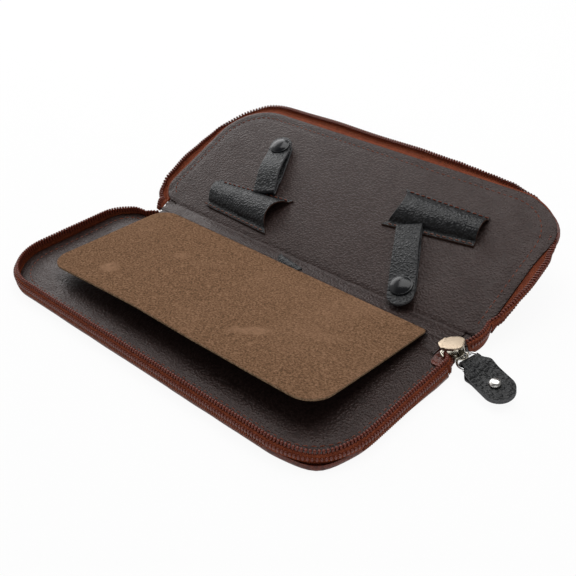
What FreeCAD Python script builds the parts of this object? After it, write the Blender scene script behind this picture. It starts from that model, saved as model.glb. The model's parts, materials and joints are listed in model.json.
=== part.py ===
"""Zip-around case for hairdressing shears, lying open, as separate pieces.

X runs along the spine, the front half lies towards -Y on the ground, the rear half is tilted up
towards +Y, and +Z is up.  The origin is the middle of the spine's underside.  Each half is drawn
in its own panel frame: u along the spine, v away from it, w up from the outer face.
"""

import FreeCAD, Part
import math
import os
import re

import Sketcher

V = FreeCAD.Vector

doc = FreeCAD.newDocument("shears_case")

# name, value in millimetres or degrees
SIZES = [
    ("case_length", 220.0),
    ("half_depth", 88.0),
    ("spine_width", 19.0),
    ("spine_free_inset", 15.0),
    ("spine_slider_inset", 11.6),
    ("far_corner", 29.0),
    ("free_end_corner", 17.5),
    ("slider_end_corner", 8.0),
    ("cover_wall", 1.0),
    ("board_wall", 1.2),
    ("lining_wall", 0.8),
    ("fold_gap", 0.15),
    ("lining_fold_cut", 2.3),
    ("board_inset", 7.0),
    ("lining_inset", 0.8),
    ("spine_filler_inset", 4.0),
    ("spine_corner", 1.5),
    ("rest_tilt", 21.6),
    ("seat_gap", 0.05),
    # zip
    ("tape_wall", 0.9),
    ("tape_flange", 6.0),
    ("tape_bulge", 0.5),
    ("front_row_height", 7.8),
    ("front_row_lean", 0.3),
    ("rear_row_height", 2.9),
    ("rear_row_flare", 7.0),
    ("front_row_start", 10.0),
    ("rear_row_stop", 25.0),
    ("coil_pitch", 1.6),
    ("coil_wire", 0.95),
    ("coil_width", 3.2),
    ("coil_depth", 1.8),
    ("coil_overhang", 1.1),
    ("rear_coil_overhang", 0.8),
    ("coil_clearance", 0.1),
    ("zip_end_gap", 0.3),
    ("front_end_sweep", 40.0),
    ("rear_end_sweep", 50.0),
    ("rear_end_width", 4.4),
    ("patch_reach", 8.6),
    ("patch_width", 11.0),
    ("patch_y", 1.5),
    # divider page and what hangs under it
    ("page_free_side", 85.5),
    ("page_slider_side", 87.0),
    ("page_depth", 76.0),
    ("page_overhang", 1.2),
    ("page_front_corner", 12.0),
    ("page_back_corner", 1.5),
    ("suede_wall", 1.0),
    ("page_backing_wall", 0.5),
    ("page_tilt", 5.2),
    ("page_hinge_y", -0.6),
    ("page_hinge_height", 6.3),
    ("anchor_width", 3.0),
    ("anchor_end_inset", 6.0),
    ("anchor_gap", 0.3),
    ("page_sleeve_height", 4.4),
    ("page_sleeve_v", 30.0),
    ("page_sleeve_step", 28.0),
    ("page_sleeve_u", 27.0),
    ("backing_inset", 0.6),
    ("page_clearance", 0.3),
    ("tongue_width", 13.0),
    ("tongue_length", 18.0),
    ("tongue_reach", 1.2),
    ("tongue_x", 6.0),
    ("tongue_turn", 12.0),
    # sleeves for the blades
    ("leather_wall", 1.0),
    ("sleeve_length", 50.0),
    ("sleeve_mouth_width", 26.0),
    ("sleeve_end_width", 19.5),
    ("sleeve_flange", 5.2),
    ("sleeve_height", 6.2),
    ("sleeve_end_height", 5.4),
    ("mouth_hollow", 6.0),
    ("right_sleeve_from_end", 82.0),
    ("right_sleeve_v", 61.0),
    ("right_sleeve_turn", 4.5),
    ("left_sleeve_from_end", 85.0),
    ("left_sleeve_v", 28.2),
    ("left_sleeve_turn", 181.8),
    # snap straps
    ("strap_width", 13.0),
    ("strap_layer", 1.2),
    ("strap_gap", 1.75),
    ("fold_rise", 1.1),
    ("fold_leg", 6.0),
    ("fold_ramp_end", 12.0),
    ("right_strap_from_end", 65.2),
    ("right_strap_v", 51.3),
    ("right_strap_turn", -61.3),
    ("right_strap_length", 51.2),
    ("right_snap_at", 38.5),
    ("left_strap_from_end", 65.6),
    ("left_strap_v", 38.4),
    ("left_strap_turn", 114.0),
    ("left_strap_length", 42.7),
    ("left_snap_at", 35.1),
    ("right_base_length", 44.2),
    ("left_base_length", 41.0),
    ("right_flap_cut", 41.4),
    ("cap_diameter", 11.5),
    ("cap_rise", 1.6),
    ("cap_rim", 0.5),
    ("snap_stem", 3.4),
    ("snap_clearance", 0.05),
    ("socket_diameter", 8.2),
    ("socket_bore", 4.3),
    ("stud_flange", 7.0),
    ("stud_flange_wall", 0.35),
    ("stud_knob", 3.6),
    ("stud_play", 0.3),
    # slider and pull
    ("slider_from_end", 4.5),
    ("slider_y", -7.5),
    ("slider_height", 7.45),
    ("slider_yaw", 20.0),
    ("slider_pitch", 15.0),
    ("slider_tail", 5.5),
    ("slider_nose", 6.0),
    ("slider_width", 8.6),
    ("slider_tail_width", 5.2),
    ("slider_nose_width", 4.4),
    ("wing_wall", 1.0),
    ("channel_height", 3.6),
    ("rail_drop", 0.9),
    ("rail_wall", 0.7),
    ("post_length", 2.6),
    ("post_width", 2.4),
    ("crown_width", 1.8),
    ("crown_hollow", 2.4),
    ("crown_bar", 0.9),
    ("crown_back", -1.6),
    ("crown_front", 6.9),
    ("post_inset", 0.4),
    ("wing_shoulder", 3.2),
    ("wing_waist", -1.0),
    ("ring_radius", 5.35),
    ("ring_wire", 1.2),
    ("ring_hook_x", 3.4),
    ("ring_hook_angle", 178.0),
    ("pull_yaw", -13.0),
    ("pull_pitch", 3.3),
    ("pull_roll", 10.0),
    ("tab_length", 24.5),
    ("tab_width", 14.0),
    ("tab_neck", 7.0),
    ("tab_shoulder", 5.5),
    ("tab_layer", 1.2),
    ("tab_ring_play", 0.3),
    ("tab_start", 1.8),
    ("tab_slot_start", 2.85),
    ("tab_slot", 6.6),
    ("tab_thin", 10.5),
    ("tab_end_wall", 2.5),
    ("rivet_at", 17.0),
    ("rivet_head", 5.6),
    ("rivet_rise", 1.1),
    ("rivet_shank", 2.4),
]

sheet = doc.addObject("Spreadsheet::Sheet", "sizes")
for row, (name, value) in enumerate(SIZES, start=1):
    sheet.set(f"A{row}", str(value))
    sheet.setAlias(f"A{row}", name)
doc.recompute()


NAMES = re.compile(r"\b(" + "|".join(name for name, value in SIZES) + r")\b")


def size(expression):
    """The number that an expression of sheet names gives, in millimetres or degrees."""
    found = sheet.evalExpression(NAMES.sub(r"sizes.\1", str(expression)))
    return float(getattr(found, "Value", found))


def bind(feature, path, expression):
    """Ties one property of a feature to an expression of sheet names."""
    feature.setExpression(path, NAMES.sub(r"sizes.\1", expression))


def turned(axis, angle):
    return FreeCAD.Rotation(axis, angle)


X, Y, Z = V(1, 0, 0), V(0, 1, 0), V(0, 0, 1)
HERE = FreeCAD.Placement()

# the two halves: the front one is turned half round, the rear one is tilted about its fold line
fold_line = V(0, size("spine_width / 2"), size("cover_wall"))
FRONT = FreeCAD.Placement(V(), turned(Z, 180))
REAR = FreeCAD.Placement(V(), turned(X, size("rest_tilt")), fold_line)
ACROSS = turned(V(1, 1, 1), 120)
UPRIGHT = turned(X, 90)


def spot(place, u, v, w, turn="0"):
    """A place on a half, turned in its plane."""
    return place.multiply(FreeCAD.Placement(V(size(u), size(v), size(w)), turned(Z, size(turn))))


def arc_centre(start, end, radius, left):
    """The middle of the short arc from start to end, turning left or right."""
    half = (end - start).Length / 2
    side = V(start.y - end.y, end.x - start.x, 0).normalize()
    rise = math.sqrt(max(radius * radius - half * half, 0.0))
    return (start + end) * 0.5 + side * (rise if left else -rise)


def tie(sketch, kind, where, expression):
    """Adds one constraint whose value comes from the sheet."""
    number = sketch.addConstraint(Sketcher.Constraint(kind, *where, size(expression)))
    bind(sketch, f"Constraints[{number}]", expression)


def draw(sketch, points, arcs=None, closed=True, holes=()):
    """Lines and arcs through points.  Every corner, radius and hole is bound to the sheet.

    arcs gives, for a segment's number, its radius and whether it turns left.
    """
    arcs = arcs or {}
    first = sketch.GeometryCount
    at = [V(size(x), size(y), 0) for x, y in points]
    count = len(at) if closed else len(at) - 1
    ends = []
    for n in range(count):
        a, b = at[n], at[(n + 1) % len(at)]
        if n in arcs:
            radius, left = arcs[n]
            centre = arc_centre(a, b, size(radius), left)
            spokes = [a - centre, b - centre] if left else [b - centre, a - centre]
            angles = [math.atan2(spoke.y, spoke.x) for spoke in spokes]
            circle = Part.Circle(centre, Z, size(radius))
            sketch.addGeometry(Part.ArcOfCircle(circle, *angles))
            ends.append((1, 2) if left else (2, 1))
        else:
            sketch.addGeometry(Part.LineSegment(a, b))
            ends.append((1, 2))
    for n in range(count if closed else count - 1):
        after = (n + 1) % count
        sketch.addConstraint(Sketcher.Constraint(
            "Coincident", first + n, ends[n][1], first + after, ends[after][0]))
    for n, (x, y) in enumerate(points):
        last = not closed and n == len(points) - 1
        edge, end = (n - 1, ends[n - 1][1]) if last else (n, ends[n][0])
        tie(sketch, "DistanceX", (-1, 1, first + edge, end), x)
        tie(sketch, "DistanceY", (-1, 1, first + edge, end), y)
    for n, (radius, left) in arcs.items():
        tie(sketch, "Radius", (first + n,), radius)
    for x, y, radius in holes:
        hole = sketch.addGeometry(Part.Circle(V(size(x), size(y), 0), Z, size(radius)))
        tie(sketch, "DistanceX", (-1, 1, hole, 3), x)
        tie(sketch, "DistanceY", (-1, 1, hole, 3), y)
        tie(sketch, "Radius", (hole,), radius)
    return sketch


def free_sketch(name, place, points, arcs=None, closed=True):
    sketch = doc.addObject("Sketcher::SketchObject", name)
    sketch.Placement = place
    return draw(sketch, points, arcs, closed)


pieces = {}


def piece(node, feature, place=None):
    """Names a finished piece and, if it is given, sets where it goes."""
    feature.Label = node
    if place is not None:
        feature.Placement = place
    pieces[node] = feature
    return feature


def new_body(node, place):
    body = doc.addObject("PartDesign::Body", "Body_" + node)
    piece(node, body, place)
    return body


def plane_of(body, role):
    return next(f for f in body.Origin.OriginFeatures if f.Role == role)


def body_sketch(body, points, arcs=None, plane="XY_Plane", lift="0", holes=()):
    """A sketch on one of the body's own planes, lifted off it by a bound distance."""
    sketch = body.newObject("Sketcher::SketchObject", "Sketch")
    sketch.AttachmentSupport = [(plane_of(body, plane), "")]
    sketch.MapMode = "FlatFace"
    bind(sketch, "AttachmentOffset.Base.z", lift)
    return draw(sketch, points, arcs, holes=holes)


def pad(body, sketch, height, midplane=False):
    feature = body.newObject("PartDesign::Pad", "Pad")
    feature.Profile = sketch
    feature.Midplane = midplane
    bind(feature, "Length", height)
    return feature


def layer(node, place, points, arcs, base, height, holes=()):
    """A flat piece cut to an outline."""
    body = new_body(node, place)
    pad(body, body_sketch(body, points, arcs, lift=base, holes=holes), height)
    return body


def turned_piece(node, place, points, arcs=None):
    """A round piece: a half section drawn beside the vertical axis."""
    body = new_body(node, place)
    sketch = body_sketch(body, points, arcs, plane="XZ_Plane")
    feature = body.newObject("PartDesign::Revolution", "Revolution")
    feature.Profile = sketch
    feature.ReferenceAxis = (sketch, ["V_Axis"])
    feature.Angle = 360
    return body


def outline(near, far, side, corner_minus, corner_plus, corner_far):
    """A rounded panel outline, from the near edge's start on the minus side."""
    points = [
        (f"-({side}) + ({corner_minus})", near),
        (f"({side}) - ({corner_plus})", near),
        (side, f"({near}) + ({corner_plus})"),
        (side, f"({far}) - ({corner_far})"),
        (f"({side}) - ({corner_far})", far),
        (f"-({side}) + ({corner_far})", far),
        (f"-({side})", f"({far}) - ({corner_far})"),
        (f"-({side})", f"({near}) + ({corner_minus})"),
    ]
    arcs = {1: (corner_plus, True), 3: (corner_far, True), 5: (corner_far, True),
            7: (corner_minus, True)}
    return points, arcs


def panel_outline(half, inset, near):
    """The outline of a half at an inset from its edge; near is where it starts at the spine."""
    minus, plus = CORNERS[half]
    side = f"case_length / 2 - ({inset})"
    far = f"spine_width / 2 + half_depth - ({inset})"
    return outline(near, far, side, f"{minus} - ({inset})", f"{plus} - ({inset})",
                   f"far_corner - ({inset})")


PLACES = {"front": FRONT, "rear": REAR}
CORNERS = {
    "front": ("slider_end_corner", "free_end_corner"),
    "rear": ("free_end_corner", "slider_end_corner"),
}


def make_panel(half):
    """Outer cover, stiffening board and lining of one half."""
    place = PLACES[half]
    near = "spine_width / 2 + fold_gap"
    layer(f"outer_cover_{half}", place, *panel_outline(half, "0", near), "0", "cover_wall")
    minus, plus = CORNERS[half]
    side = "case_length / 2 - board_inset"
    start = "spine_width / 2 + board_inset"
    far = "spine_width / 2 + half_depth"
    board = [
        (f"-({side}) + {minus} * 0.6", start),
        (f"({side}) - {plus} * 0.6", start),
        (side, f"{start} + {plus} * 0.6"),
        (side, f"{far} - far_corner"),
        ("case_length / 2 - far_corner", f"{far} - board_inset"),
        ("-case_length / 2 + far_corner", f"{far} - board_inset"),
        (f"-({side})", f"{far} - far_corner"),
        (f"-({side})", f"{start} + {minus} * 0.6"),
    ]
    bends = {3: ("far_corner - board_inset", True), 5: ("far_corner - board_inset", True)}
    layer(f"stiffener_{half}", place, board, bends, "cover_wall", "board_wall")
    lining_base = "cover_wall + board_wall"
    layer(f"lining_{half}", place, *panel_outline(half, "lining_inset", f"{near} + lining_inset"),
          lining_base, "lining_wall")


def strip(left, right, half_width, corner):
    """A strip along the spine with a little corner at each end."""
    points = [(left, f"-({half_width}) + {corner}"), (f"{left} + {corner}", f"-({half_width})"),
              (f"{right} - {corner}", f"-({half_width})"), (right, f"-({half_width}) + {corner}"),
              (right, f"{half_width} - {corner}"), (f"{right} - {corner}", half_width),
              (f"{left} + {corner}", half_width), (left, f"{half_width} - {corner}")]
    arcs = {n: (corner, True) for n in (0, 2, 4, 6)}
    return points, arcs


def make_spine():
    """Cover, soft filler and lining of the spine, and the rib that the page is sewn to."""
    wide = "(spine_width / 2 - fold_gap)"
    cut = "(spine_width / 2 - lining_fold_cut)"
    layer("outer_cover_spine", HERE, *strip("-(case_length / 2 - spine_free_inset)", "(case_length / 2 - spine_slider_inset)", wide, "spine_corner"),
          "0", "cover_wall")
    layer("spine_filler", HERE,
          *strip("-(case_length / 2 - spine_free_inset) + spine_filler_inset", "(case_length / 2 - spine_slider_inset) - spine_filler_inset",
                 f"({cut} - spine_corner / 2)", "spine_corner / 2"), "cover_wall", "board_wall")
    layer("lining_spine", HERE,
          *strip("-(case_length / 2 - spine_free_inset) + 1", "(case_length / 2 - spine_slider_inset) - 1", cut, "spine_corner"),
          "cover_wall + board_wall", "lining_wall")
    # the rib stops on both sides of the tongue that hangs under the page
    body = new_body("page_anchor", HERE)
    top = "page_hinge_height - page_backing_wall - suede_wall / 2 - anchor_gap - page_clearance"
    rise = f"{top} - (cover_wall + board_wall + lining_wall)"
    for start, end in (("-page_free_side + anchor_end_inset", "tongue_x - tongue_width"),
                       ("tongue_x + tongue_width", "page_slider_side - anchor_end_inset")):
        rib = [(start, "page_hinge_y - anchor_width / 2"), (end, "page_hinge_y - anchor_width / 2"),
               (end, "page_hinge_y + anchor_width / 2"), (start, "page_hinge_y + anchor_width / 2")]
        pad(body, body_sketch(body, rib, lift="cover_wall + board_wall + lining_wall"), rise)


def make_zip():
    """Tapes swept round the halves, coils on them, and the loose ends at the slider."""
    near = "spine_width / 2 + fold_gap"
    bottom = "cover_wall"
    top = "cover_wall + board_wall"
    wall = "tape_wall / 2"
    rows = {
        "front": {
            "start": 1, "first": turned(Z, size("front_row_start") - 90).multiply(UPRIGHT),
            "profile": [("-tape_flange", bottom), ("tape_bulge + 0.1", bottom),
                        (f"front_row_lean + {wall}", "front_row_height"),
                        (f"front_row_lean - {wall}", "front_row_height"),
                        ("-0.3", top), ("-tape_flange", top)],
            "coil": ("front_row_lean - tape_wall / 2 - coil_clearance - coil_depth",
                     "front_row_height + coil_overhang - coil_width", "coil_depth", "coil_width")},
        "rear": {
            "start": 2, "first": UPRIGHT,
            "profile": [("-tape_flange", bottom), ("0.3", bottom),
                        ("rear_row_flare", f"rear_row_height - {wall}"),
                        ("rear_row_flare", f"rear_row_height + {wall}"),
                        ("-0.3", top), ("-tape_flange", top)],
            "coil": ("rear_row_flare + rear_coil_overhang - coil_width",
                     "rear_row_height + tape_wall / 2 + coil_clearance", "coil_width",
                     "coil_depth")},
    }
    for half, row in rows.items():
        points, arcs = panel_outline(half, "0", near)
        middle, rise = "(case_length / 2 - free_end_corner)", f"{near} + free_end_corner"
        points[1] = (f"{middle} + free_end_corner * sin(front_row_start * 1 deg)",
                     f"{rise} - free_end_corner * cos(front_row_start * 1 deg)")
        points[0] = (f"-{middle} - free_end_corner * sin(rear_row_stop * 1 deg)",
                     f"{rise} - free_end_corner * cos(rear_row_stop * 1 deg)")
        order = [(row["start"] + n) % 8 for n in range(7)]
        path_arcs = {n: arcs[at] for n, at in enumerate(order[:-1]) if at in arcs}
        path = free_sketch(f"Path_{half}", HERE, [points[at] for at in order], path_arcs, False)
        begin = points[order[0]]
        place = FreeCAD.Placement(V(size(begin[0]), size(begin[1]), 0), row["first"])
        profile = free_sketch(f"Profile_{half}", place, row["profile"])
        doc.recompute()
        sweep = doc.addObject("Part::Sweep", f"Tape_{half}")
        sweep.Sections = [profile]
        sweep.Spine = (path, [f"Edge{n}" for n in range(1, 7)])
        sweep.Solid = True
        piece(f"zip_tape_{half}", sweep, PLACES[half])
        make_coil(half, path.Shape, *(size(value) for value in row["coil"]))


def make_coil(half, path, inner, up, depth, height):
    """One row of the zip: a small block at every pitch along the path."""
    wire = Part.Wire(Part.__sortEdges__(path.Edges))
    thick = size("coil_wire")
    spots = wire.discretize(Distance=size("coil_pitch"))
    blocks = []
    for before, at, after in zip(spots, spots[1:], spots[2:]):
        run = (after - before).normalize()
        block = Part.makeBox(thick, depth, height, V(-thick / 2, -depth, up))
        inward = V(-run.y, run.x, 0)
        frame = FreeCAD.Rotation(run, inward, Z)
        block.Placement = FreeCAD.Placement(at - inward * (inner + depth) + inward * depth, frame)
        blocks.append(block)
    feature = doc.addObject("Part::Feature", f"Coil_{half}")
    feature.Shape = Part.makeCompound(blocks)
    piece(f"zip_coil_{half}", feature, PLACES[half])


def make_zip_ends():
    """The tape ends that bend round to the slider, and the patch over the end of the zip."""
    near = "(spine_width / 2 + fold_gap + slider_end_corner)"
    ends = {
        "front": ("-case_length / 2 + slider_end_corner", 180, 1, "seat_gap",
                  "tape_wall", "front_end_sweep", "front_row_height - cover_wall"),
        "rear": ("case_length / 2 - slider_end_corner", 0, -1, "zip_end_gap",
                 "rear_end_width", "rear_end_sweep", "board_wall"),
    }
    for half, (middle, base, way, clear, wide, sweep, tall) in ends.items():
        first = f"{base} + {way} * 2"
        last = f"{base} + {way} * ({sweep})"
        inner = f"(slider_end_corner + {clear})"
        outer = f"(slider_end_corner + {clear} + {wide})"
        points = [(f"{middle} + {ring} * cos(({angle}) * 1 deg)",
                   f"{near} - {ring} * sin(({turn}) * 1 deg)")
                  for ring, angle, turn in ((inner, first, "2"), (outer, first, "2"),
                                            (outer, last, sweep), (inner, last, sweep))]
        left = way < 0
        arcs = {1: (outer, not left), 3: (inner, left)}
        layer(f"zip_end_{half}", PLACES[half], points, arcs, "cover_wall", tall)
    patch = [("(case_length / 2 - spine_slider_inset) + fold_gap", "patch_y - patch_width / 2"),
             ("(case_length / 2 - spine_slider_inset) + patch_reach", "patch_y - patch_width / 2"),
             ("(case_length / 2 - spine_slider_inset) + patch_reach", "patch_y + patch_width / 2"),
             ("(case_length / 2 - spine_slider_inset) + fold_gap", "patch_y + patch_width / 2")]
    layer("zip_end_patch", HERE, patch, {}, "0", "cover_wall")


def make_page():
    """Suede page with its black backing, and the tongue that shows behind it."""
    hinge = V(0, size("page_hinge_y"), size("page_hinge_height"))
    place = FreeCAD.Placement(hinge, turned(Z, 180).multiply(turned(X, size("page_tilt"))))
    for node, inset, base, wall in (
            ("divider_page", "0", "-suede_wall / 2", "suede_wall"),
            ("page_backing", "backing_inset", "-suede_wall / 2 - page_backing_wall",
             "page_backing_wall")):
        minus = f"-page_slider_side + {inset}"
        plus = f"page_free_side - {inset}"
        back = f"-page_overhang + {inset}"
        front = f"page_depth - {inset}"
        small, big = "page_back_corner", f"(page_front_corner - {inset})"
        points = [(f"{minus} + {small}", back), (f"{plus} - {small}", back),
                  (plus, f"{back} + {small}"), (plus, f"{front} - {big}"),
                  (f"{plus} - {big}", front), (f"{minus} + {big}", front),
                  (minus, f"{front} - {big}"), (minus, f"{back} + {small}")]
        arcs = {1: (small, True), 3: (big, True), 5: (big, True), 7: (small, True)}
        layer(node, place, points, arcs, base, wall)
    under = "-suede_wall / 2 - page_backing_wall - seat_gap"
    tongue = [("-tongue_width / 2", "-tongue_reach + page_back_corner"),
              ("-tongue_width / 2 + page_back_corner", "-tongue_reach"),
              ("tongue_width / 2 - page_back_corner", "-tongue_reach"),
              ("tongue_width / 2", "-tongue_reach + page_back_corner"),
              ("tongue_width / 2", "tongue_length - tongue_reach - tongue_width / 2"),
              ("0", "tongue_length - tongue_reach"),
              ("-tongue_width / 2", "tongue_length - tongue_reach - tongue_width / 2")]
    arcs = {0: ("page_back_corner", True), 2: ("page_back_corner", True),
            4: ("tongue_width / 2", True), 5: ("tongue_width / 2", True)}
    layer("page_tongue", spot(place, "-tongue_x", "0", f"{under} - leather_wall", "-tongue_turn"),
          tongue, arcs, "0", "leather_wall")
    flipped = FreeCAD.Placement(V(), turned(X, 180))
    for node, u, turn, v in (
            ("page_sleeve_right", "page_sleeve_u", "180", "page_sleeve_v"),
            ("page_sleeve_left", "-page_sleeve_u", "0", "page_sleeve_v + page_sleeve_step")):
        make_sleeve(node, spot(place, u, v, under, turn).multiply(flipped),
                    "page_sleeve_height", "page_sleeve_height")


def sleeve_section(name, where, width, height):
    """The outline of a sleeve across its length: two flanges and a hollow arch."""
    half = f"({width} / 2)"
    span = f"({width} / 2 - sleeve_flange)"
    rise = f"({height} - leather_wall)"
    radius = f"(({span} ^ 2 + {rise} ^ 2) / (2 * {rise}))"
    points = [(f"-{half}", "0"), (f"-{span}", "0"), (span, "0"), (half, "0"),
              (half, "leather_wall"), (span, "leather_wall"), (f"-{span}", "leather_wall"),
              (f"-{half}", "leather_wall")]
    place = FreeCAD.Placement(V(size(where), 0, 0), ACROSS)
    return free_sketch(name, place, points, {1: (radius, False), 5: (radius, True)})


def make_sleeve(node, place, mouth_height, end_height):
    """A leather sleeve sewn down along both sides, with a hollowed mouth."""
    mouth = sleeve_section("Mouth_" + node, "0", "sleeve_mouth_width", mouth_height)
    end = sleeve_section("End_" + node, "sleeve_length", "sleeve_end_width", end_height)
    arch = doc.addObject("Part::Loft", "Arch_" + node)
    arch.Sections = [mouth, end]
    arch.Solid = True
    arch.Ruled = True
    radius = "(((sleeve_mouth_width / 2) ^ 2 + mouth_hollow ^ 2) / (2 * mouth_hollow))"
    cutter = doc.addObject("Part::Cylinder", "Hollow_" + node)
    bind(cutter, "Radius", radius)
    bind(cutter, "Height", "sleeve_height * 2")
    bind(cutter, "Placement.Base.x", f"mouth_hollow - {radius}")
    bind(cutter, "Placement.Base.z", "-sleeve_height / 2")
    cut = doc.addObject("Part::Cut", "Cut_" + node)
    cut.Base = arch
    cut.Tool = cutter
    piece(node, cut, place)


def tip(start, length):
    """A strap outline from its start to a round tip."""
    half = "strap_width / 2"
    points = [(start, f"-{half}"), (f"{length} - {half}", f"-{half}"), (length, "0"),
              (f"{length} - {half}", half), (start, half)]
    return points, {1: (half, True), 2: (half, True)}


def make_strap(side):
    """One snap strap: base, fold, flap and the four-part snap."""
    lining_top = "cover_wall + board_wall + lining_wall"
    way = -1 if side == "left" else 1
    along = f"(case_length / 2 - {side}_strap_from_end) * {way}"
    place = spot(REAR, along, f"{side}_strap_v", lining_top, f"{side}_strap_turn")
    length = f"{side}_strap_length"
    snap = f"{side}_snap_at"
    base_top = "(seat_gap + strap_layer)"
    flap = f"({base_top} + strap_gap)"
    leg = "(seat_gap + fold_rise)"
    outer = f"(({flap} + strap_layer - {leg}) / 2)"
    inner = f"({outer} - strap_layer)"
    layer(f"strap_base_{side}", place, *tip("fold_ramp_end + seat_gap", f"{side}_base_length"), "seat_gap",
          "strap_layer")
    hole = [(snap, "0", "snap_stem / 2 + snap_clearance")]
    if side == "right":
        # the round end bends against the spine as the case closes, so it is a piece of its own
        half_width = "strap_width / 2"
        flap_sides = [("seat_gap", f"-{half_width}"), ("right_flap_cut", f"-{half_width}"),
                      ("right_flap_cut", half_width), ("seat_gap", half_width)]
        layer("strap_flap_right", place, flap_sides, {}, flap, "strap_layer", hole)
        layer("strap_end_right", place, *tip("right_flap_cut + seat_gap", length), flap, "strap_layer")
    else:
        layer("strap_flap_left", place, *tip("seat_gap", length), flap, "strap_layer", hole)
    fold = [("fold_ramp_end", "seat_gap"), ("fold_ramp_end", base_top),
            ("fold_leg", f"{leg} + strap_layer"), ("0", f"{leg} + strap_layer"),
            (f"-{inner}", f"{leg} + {outer}"), ("0", flap), ("0", f"{flap} + strap_layer"),
            (f"-{outer}", f"{leg} + {outer}"), ("0", leg), ("fold_leg", leg)]
    arcs = {3: (inner, False), 4: (inner, False), 6: (outer, True), 7: (outer, True)}
    body = new_body(f"strap_fold_{side}", place)
    pad(body, body_sketch(body, fold, arcs, plane="XZ_Plane"), "strap_width", midplane=True)
    stud = [("0", "0"), ("stud_flange / 2", "0"), ("stud_flange / 2", "stud_flange_wall"),
            ("stud_knob / 2", "stud_flange_wall"), ("stud_knob / 2", "strap_gap - stud_play * 2"),
            ("0", "strap_gap - stud_play * 2")]
    turned_piece(f"snap_stud_{side}", spot(place, snap, "0", f"{base_top} + seat_gap"), stud)
    ring_height = "strap_gap - seat_gap * 2 - stud_flange_wall - stud_play"
    ring = [("socket_bore / 2", "0"), ("socket_diameter / 2", "0"),
            ("socket_diameter / 2", ring_height), ("socket_bore / 2", ring_height)]
    turned_piece(f"snap_socket_{side}",
                 spot(place, snap, "0", f"{flap} - seat_gap - ({ring_height})"), ring)
    foot = "-strap_layer"
    dome = "(((cap_diameter / 2) ^ 2 + (cap_rise - cap_rim) ^ 2) / (2 * (cap_rise - cap_rim)))"
    cap = [("0", foot), ("snap_stem / 2", foot), ("snap_stem / 2", "0"), ("cap_diameter / 2", "0"),
           ("cap_diameter / 2", "cap_rim"), ("0", "cap_rise")]
    turned_piece(f"snap_cap_{side}", spot(place, snap, "0", f"{flap} + strap_layer + seat_gap"),
                 cap, {4: (dome, True)})


def wing(nose):
    """The outline of one wing of the slider, pointed at the tail."""
    side, tail, front = "slider_width / 2", "slider_tail_width / 2", "slider_nose_width / 2"
    return [("-slider_tail", f"-{tail}"), ("wing_waist", f"-{side}"), ("wing_shoulder", f"-{side}"),
            (nose, f"-{front}"), (nose, front), ("wing_shoulder", side), ("wing_waist", side),
            ("-slider_tail", tail)]


def make_slider():
    """Two wings joined by a post, side rails, and the arch that holds the ring."""
    yaw = turned(Z, size("slider_yaw")).multiply(turned(Y, -size("slider_pitch")))
    middle = V(size("case_length / 2 - slider_from_end"), size("slider_y"), size("slider_height"))
    place = FreeCAD.Placement(middle, yaw)
    body = new_body("slider_body", place)
    half = "channel_height / 2"
    pad(body, body_sketch(body, wing("crown_front"), lift=f"-{half} - wing_wall"), "wing_wall")
    post = [("slider_nose - post_inset - post_length", "-post_width / 2"),
            ("slider_nose - post_inset", "-post_width / 2"),
            ("slider_nose - post_inset", "post_width / 2"),
            ("slider_nose - post_inset - post_length", "post_width / 2")]
    pad(body, body_sketch(body, post, lift=f"-{half}"), "channel_height")
    pad(body, body_sketch(body, wing("slider_nose"), lift=half), "wing_wall")
    for lift in (f"-{half}", f"{half} - rail_drop"):
        for way in ("", "-"):
            far, near = "slider_width / 2", "slider_width / 2 - rail_wall"
            back, slim = "slider_tail_width / 2", "slider_tail_width / 2 - rail_wall"
            rail = [("-slider_tail", f"{way}({back})"), ("wing_waist", f"{way}({far})"),
                    ("wing_shoulder", f"{way}({far})"), ("wing_shoulder", f"{way}({near})"),
                    ("wing_waist", f"{way}({near})"), ("-slider_tail", f"{way}({slim})")]
            pad(body, body_sketch(body, rail, lift=lift), "rail_drop")
    under = f"-{half} - wing_wall"
    low = f"{under} - crown_hollow"
    arch = [("crown_back", under), ("crown_back", f"{low} - crown_bar"),
            ("crown_front", f"{low} - crown_bar"), ("crown_front", under),
            ("crown_front - crown_bar", under), ("crown_front - crown_bar", low),
            ("crown_back + crown_bar", low), ("crown_back + crown_bar", under)]
    pad(body, body_sketch(body, arch, plane="XZ_Plane"), "crown_width", midplane=True)
    hook = V(size("ring_hook_x"), 0, size(f"{low} + crown_hollow / 2"))
    make_pull(place.multVec(hook))


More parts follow.
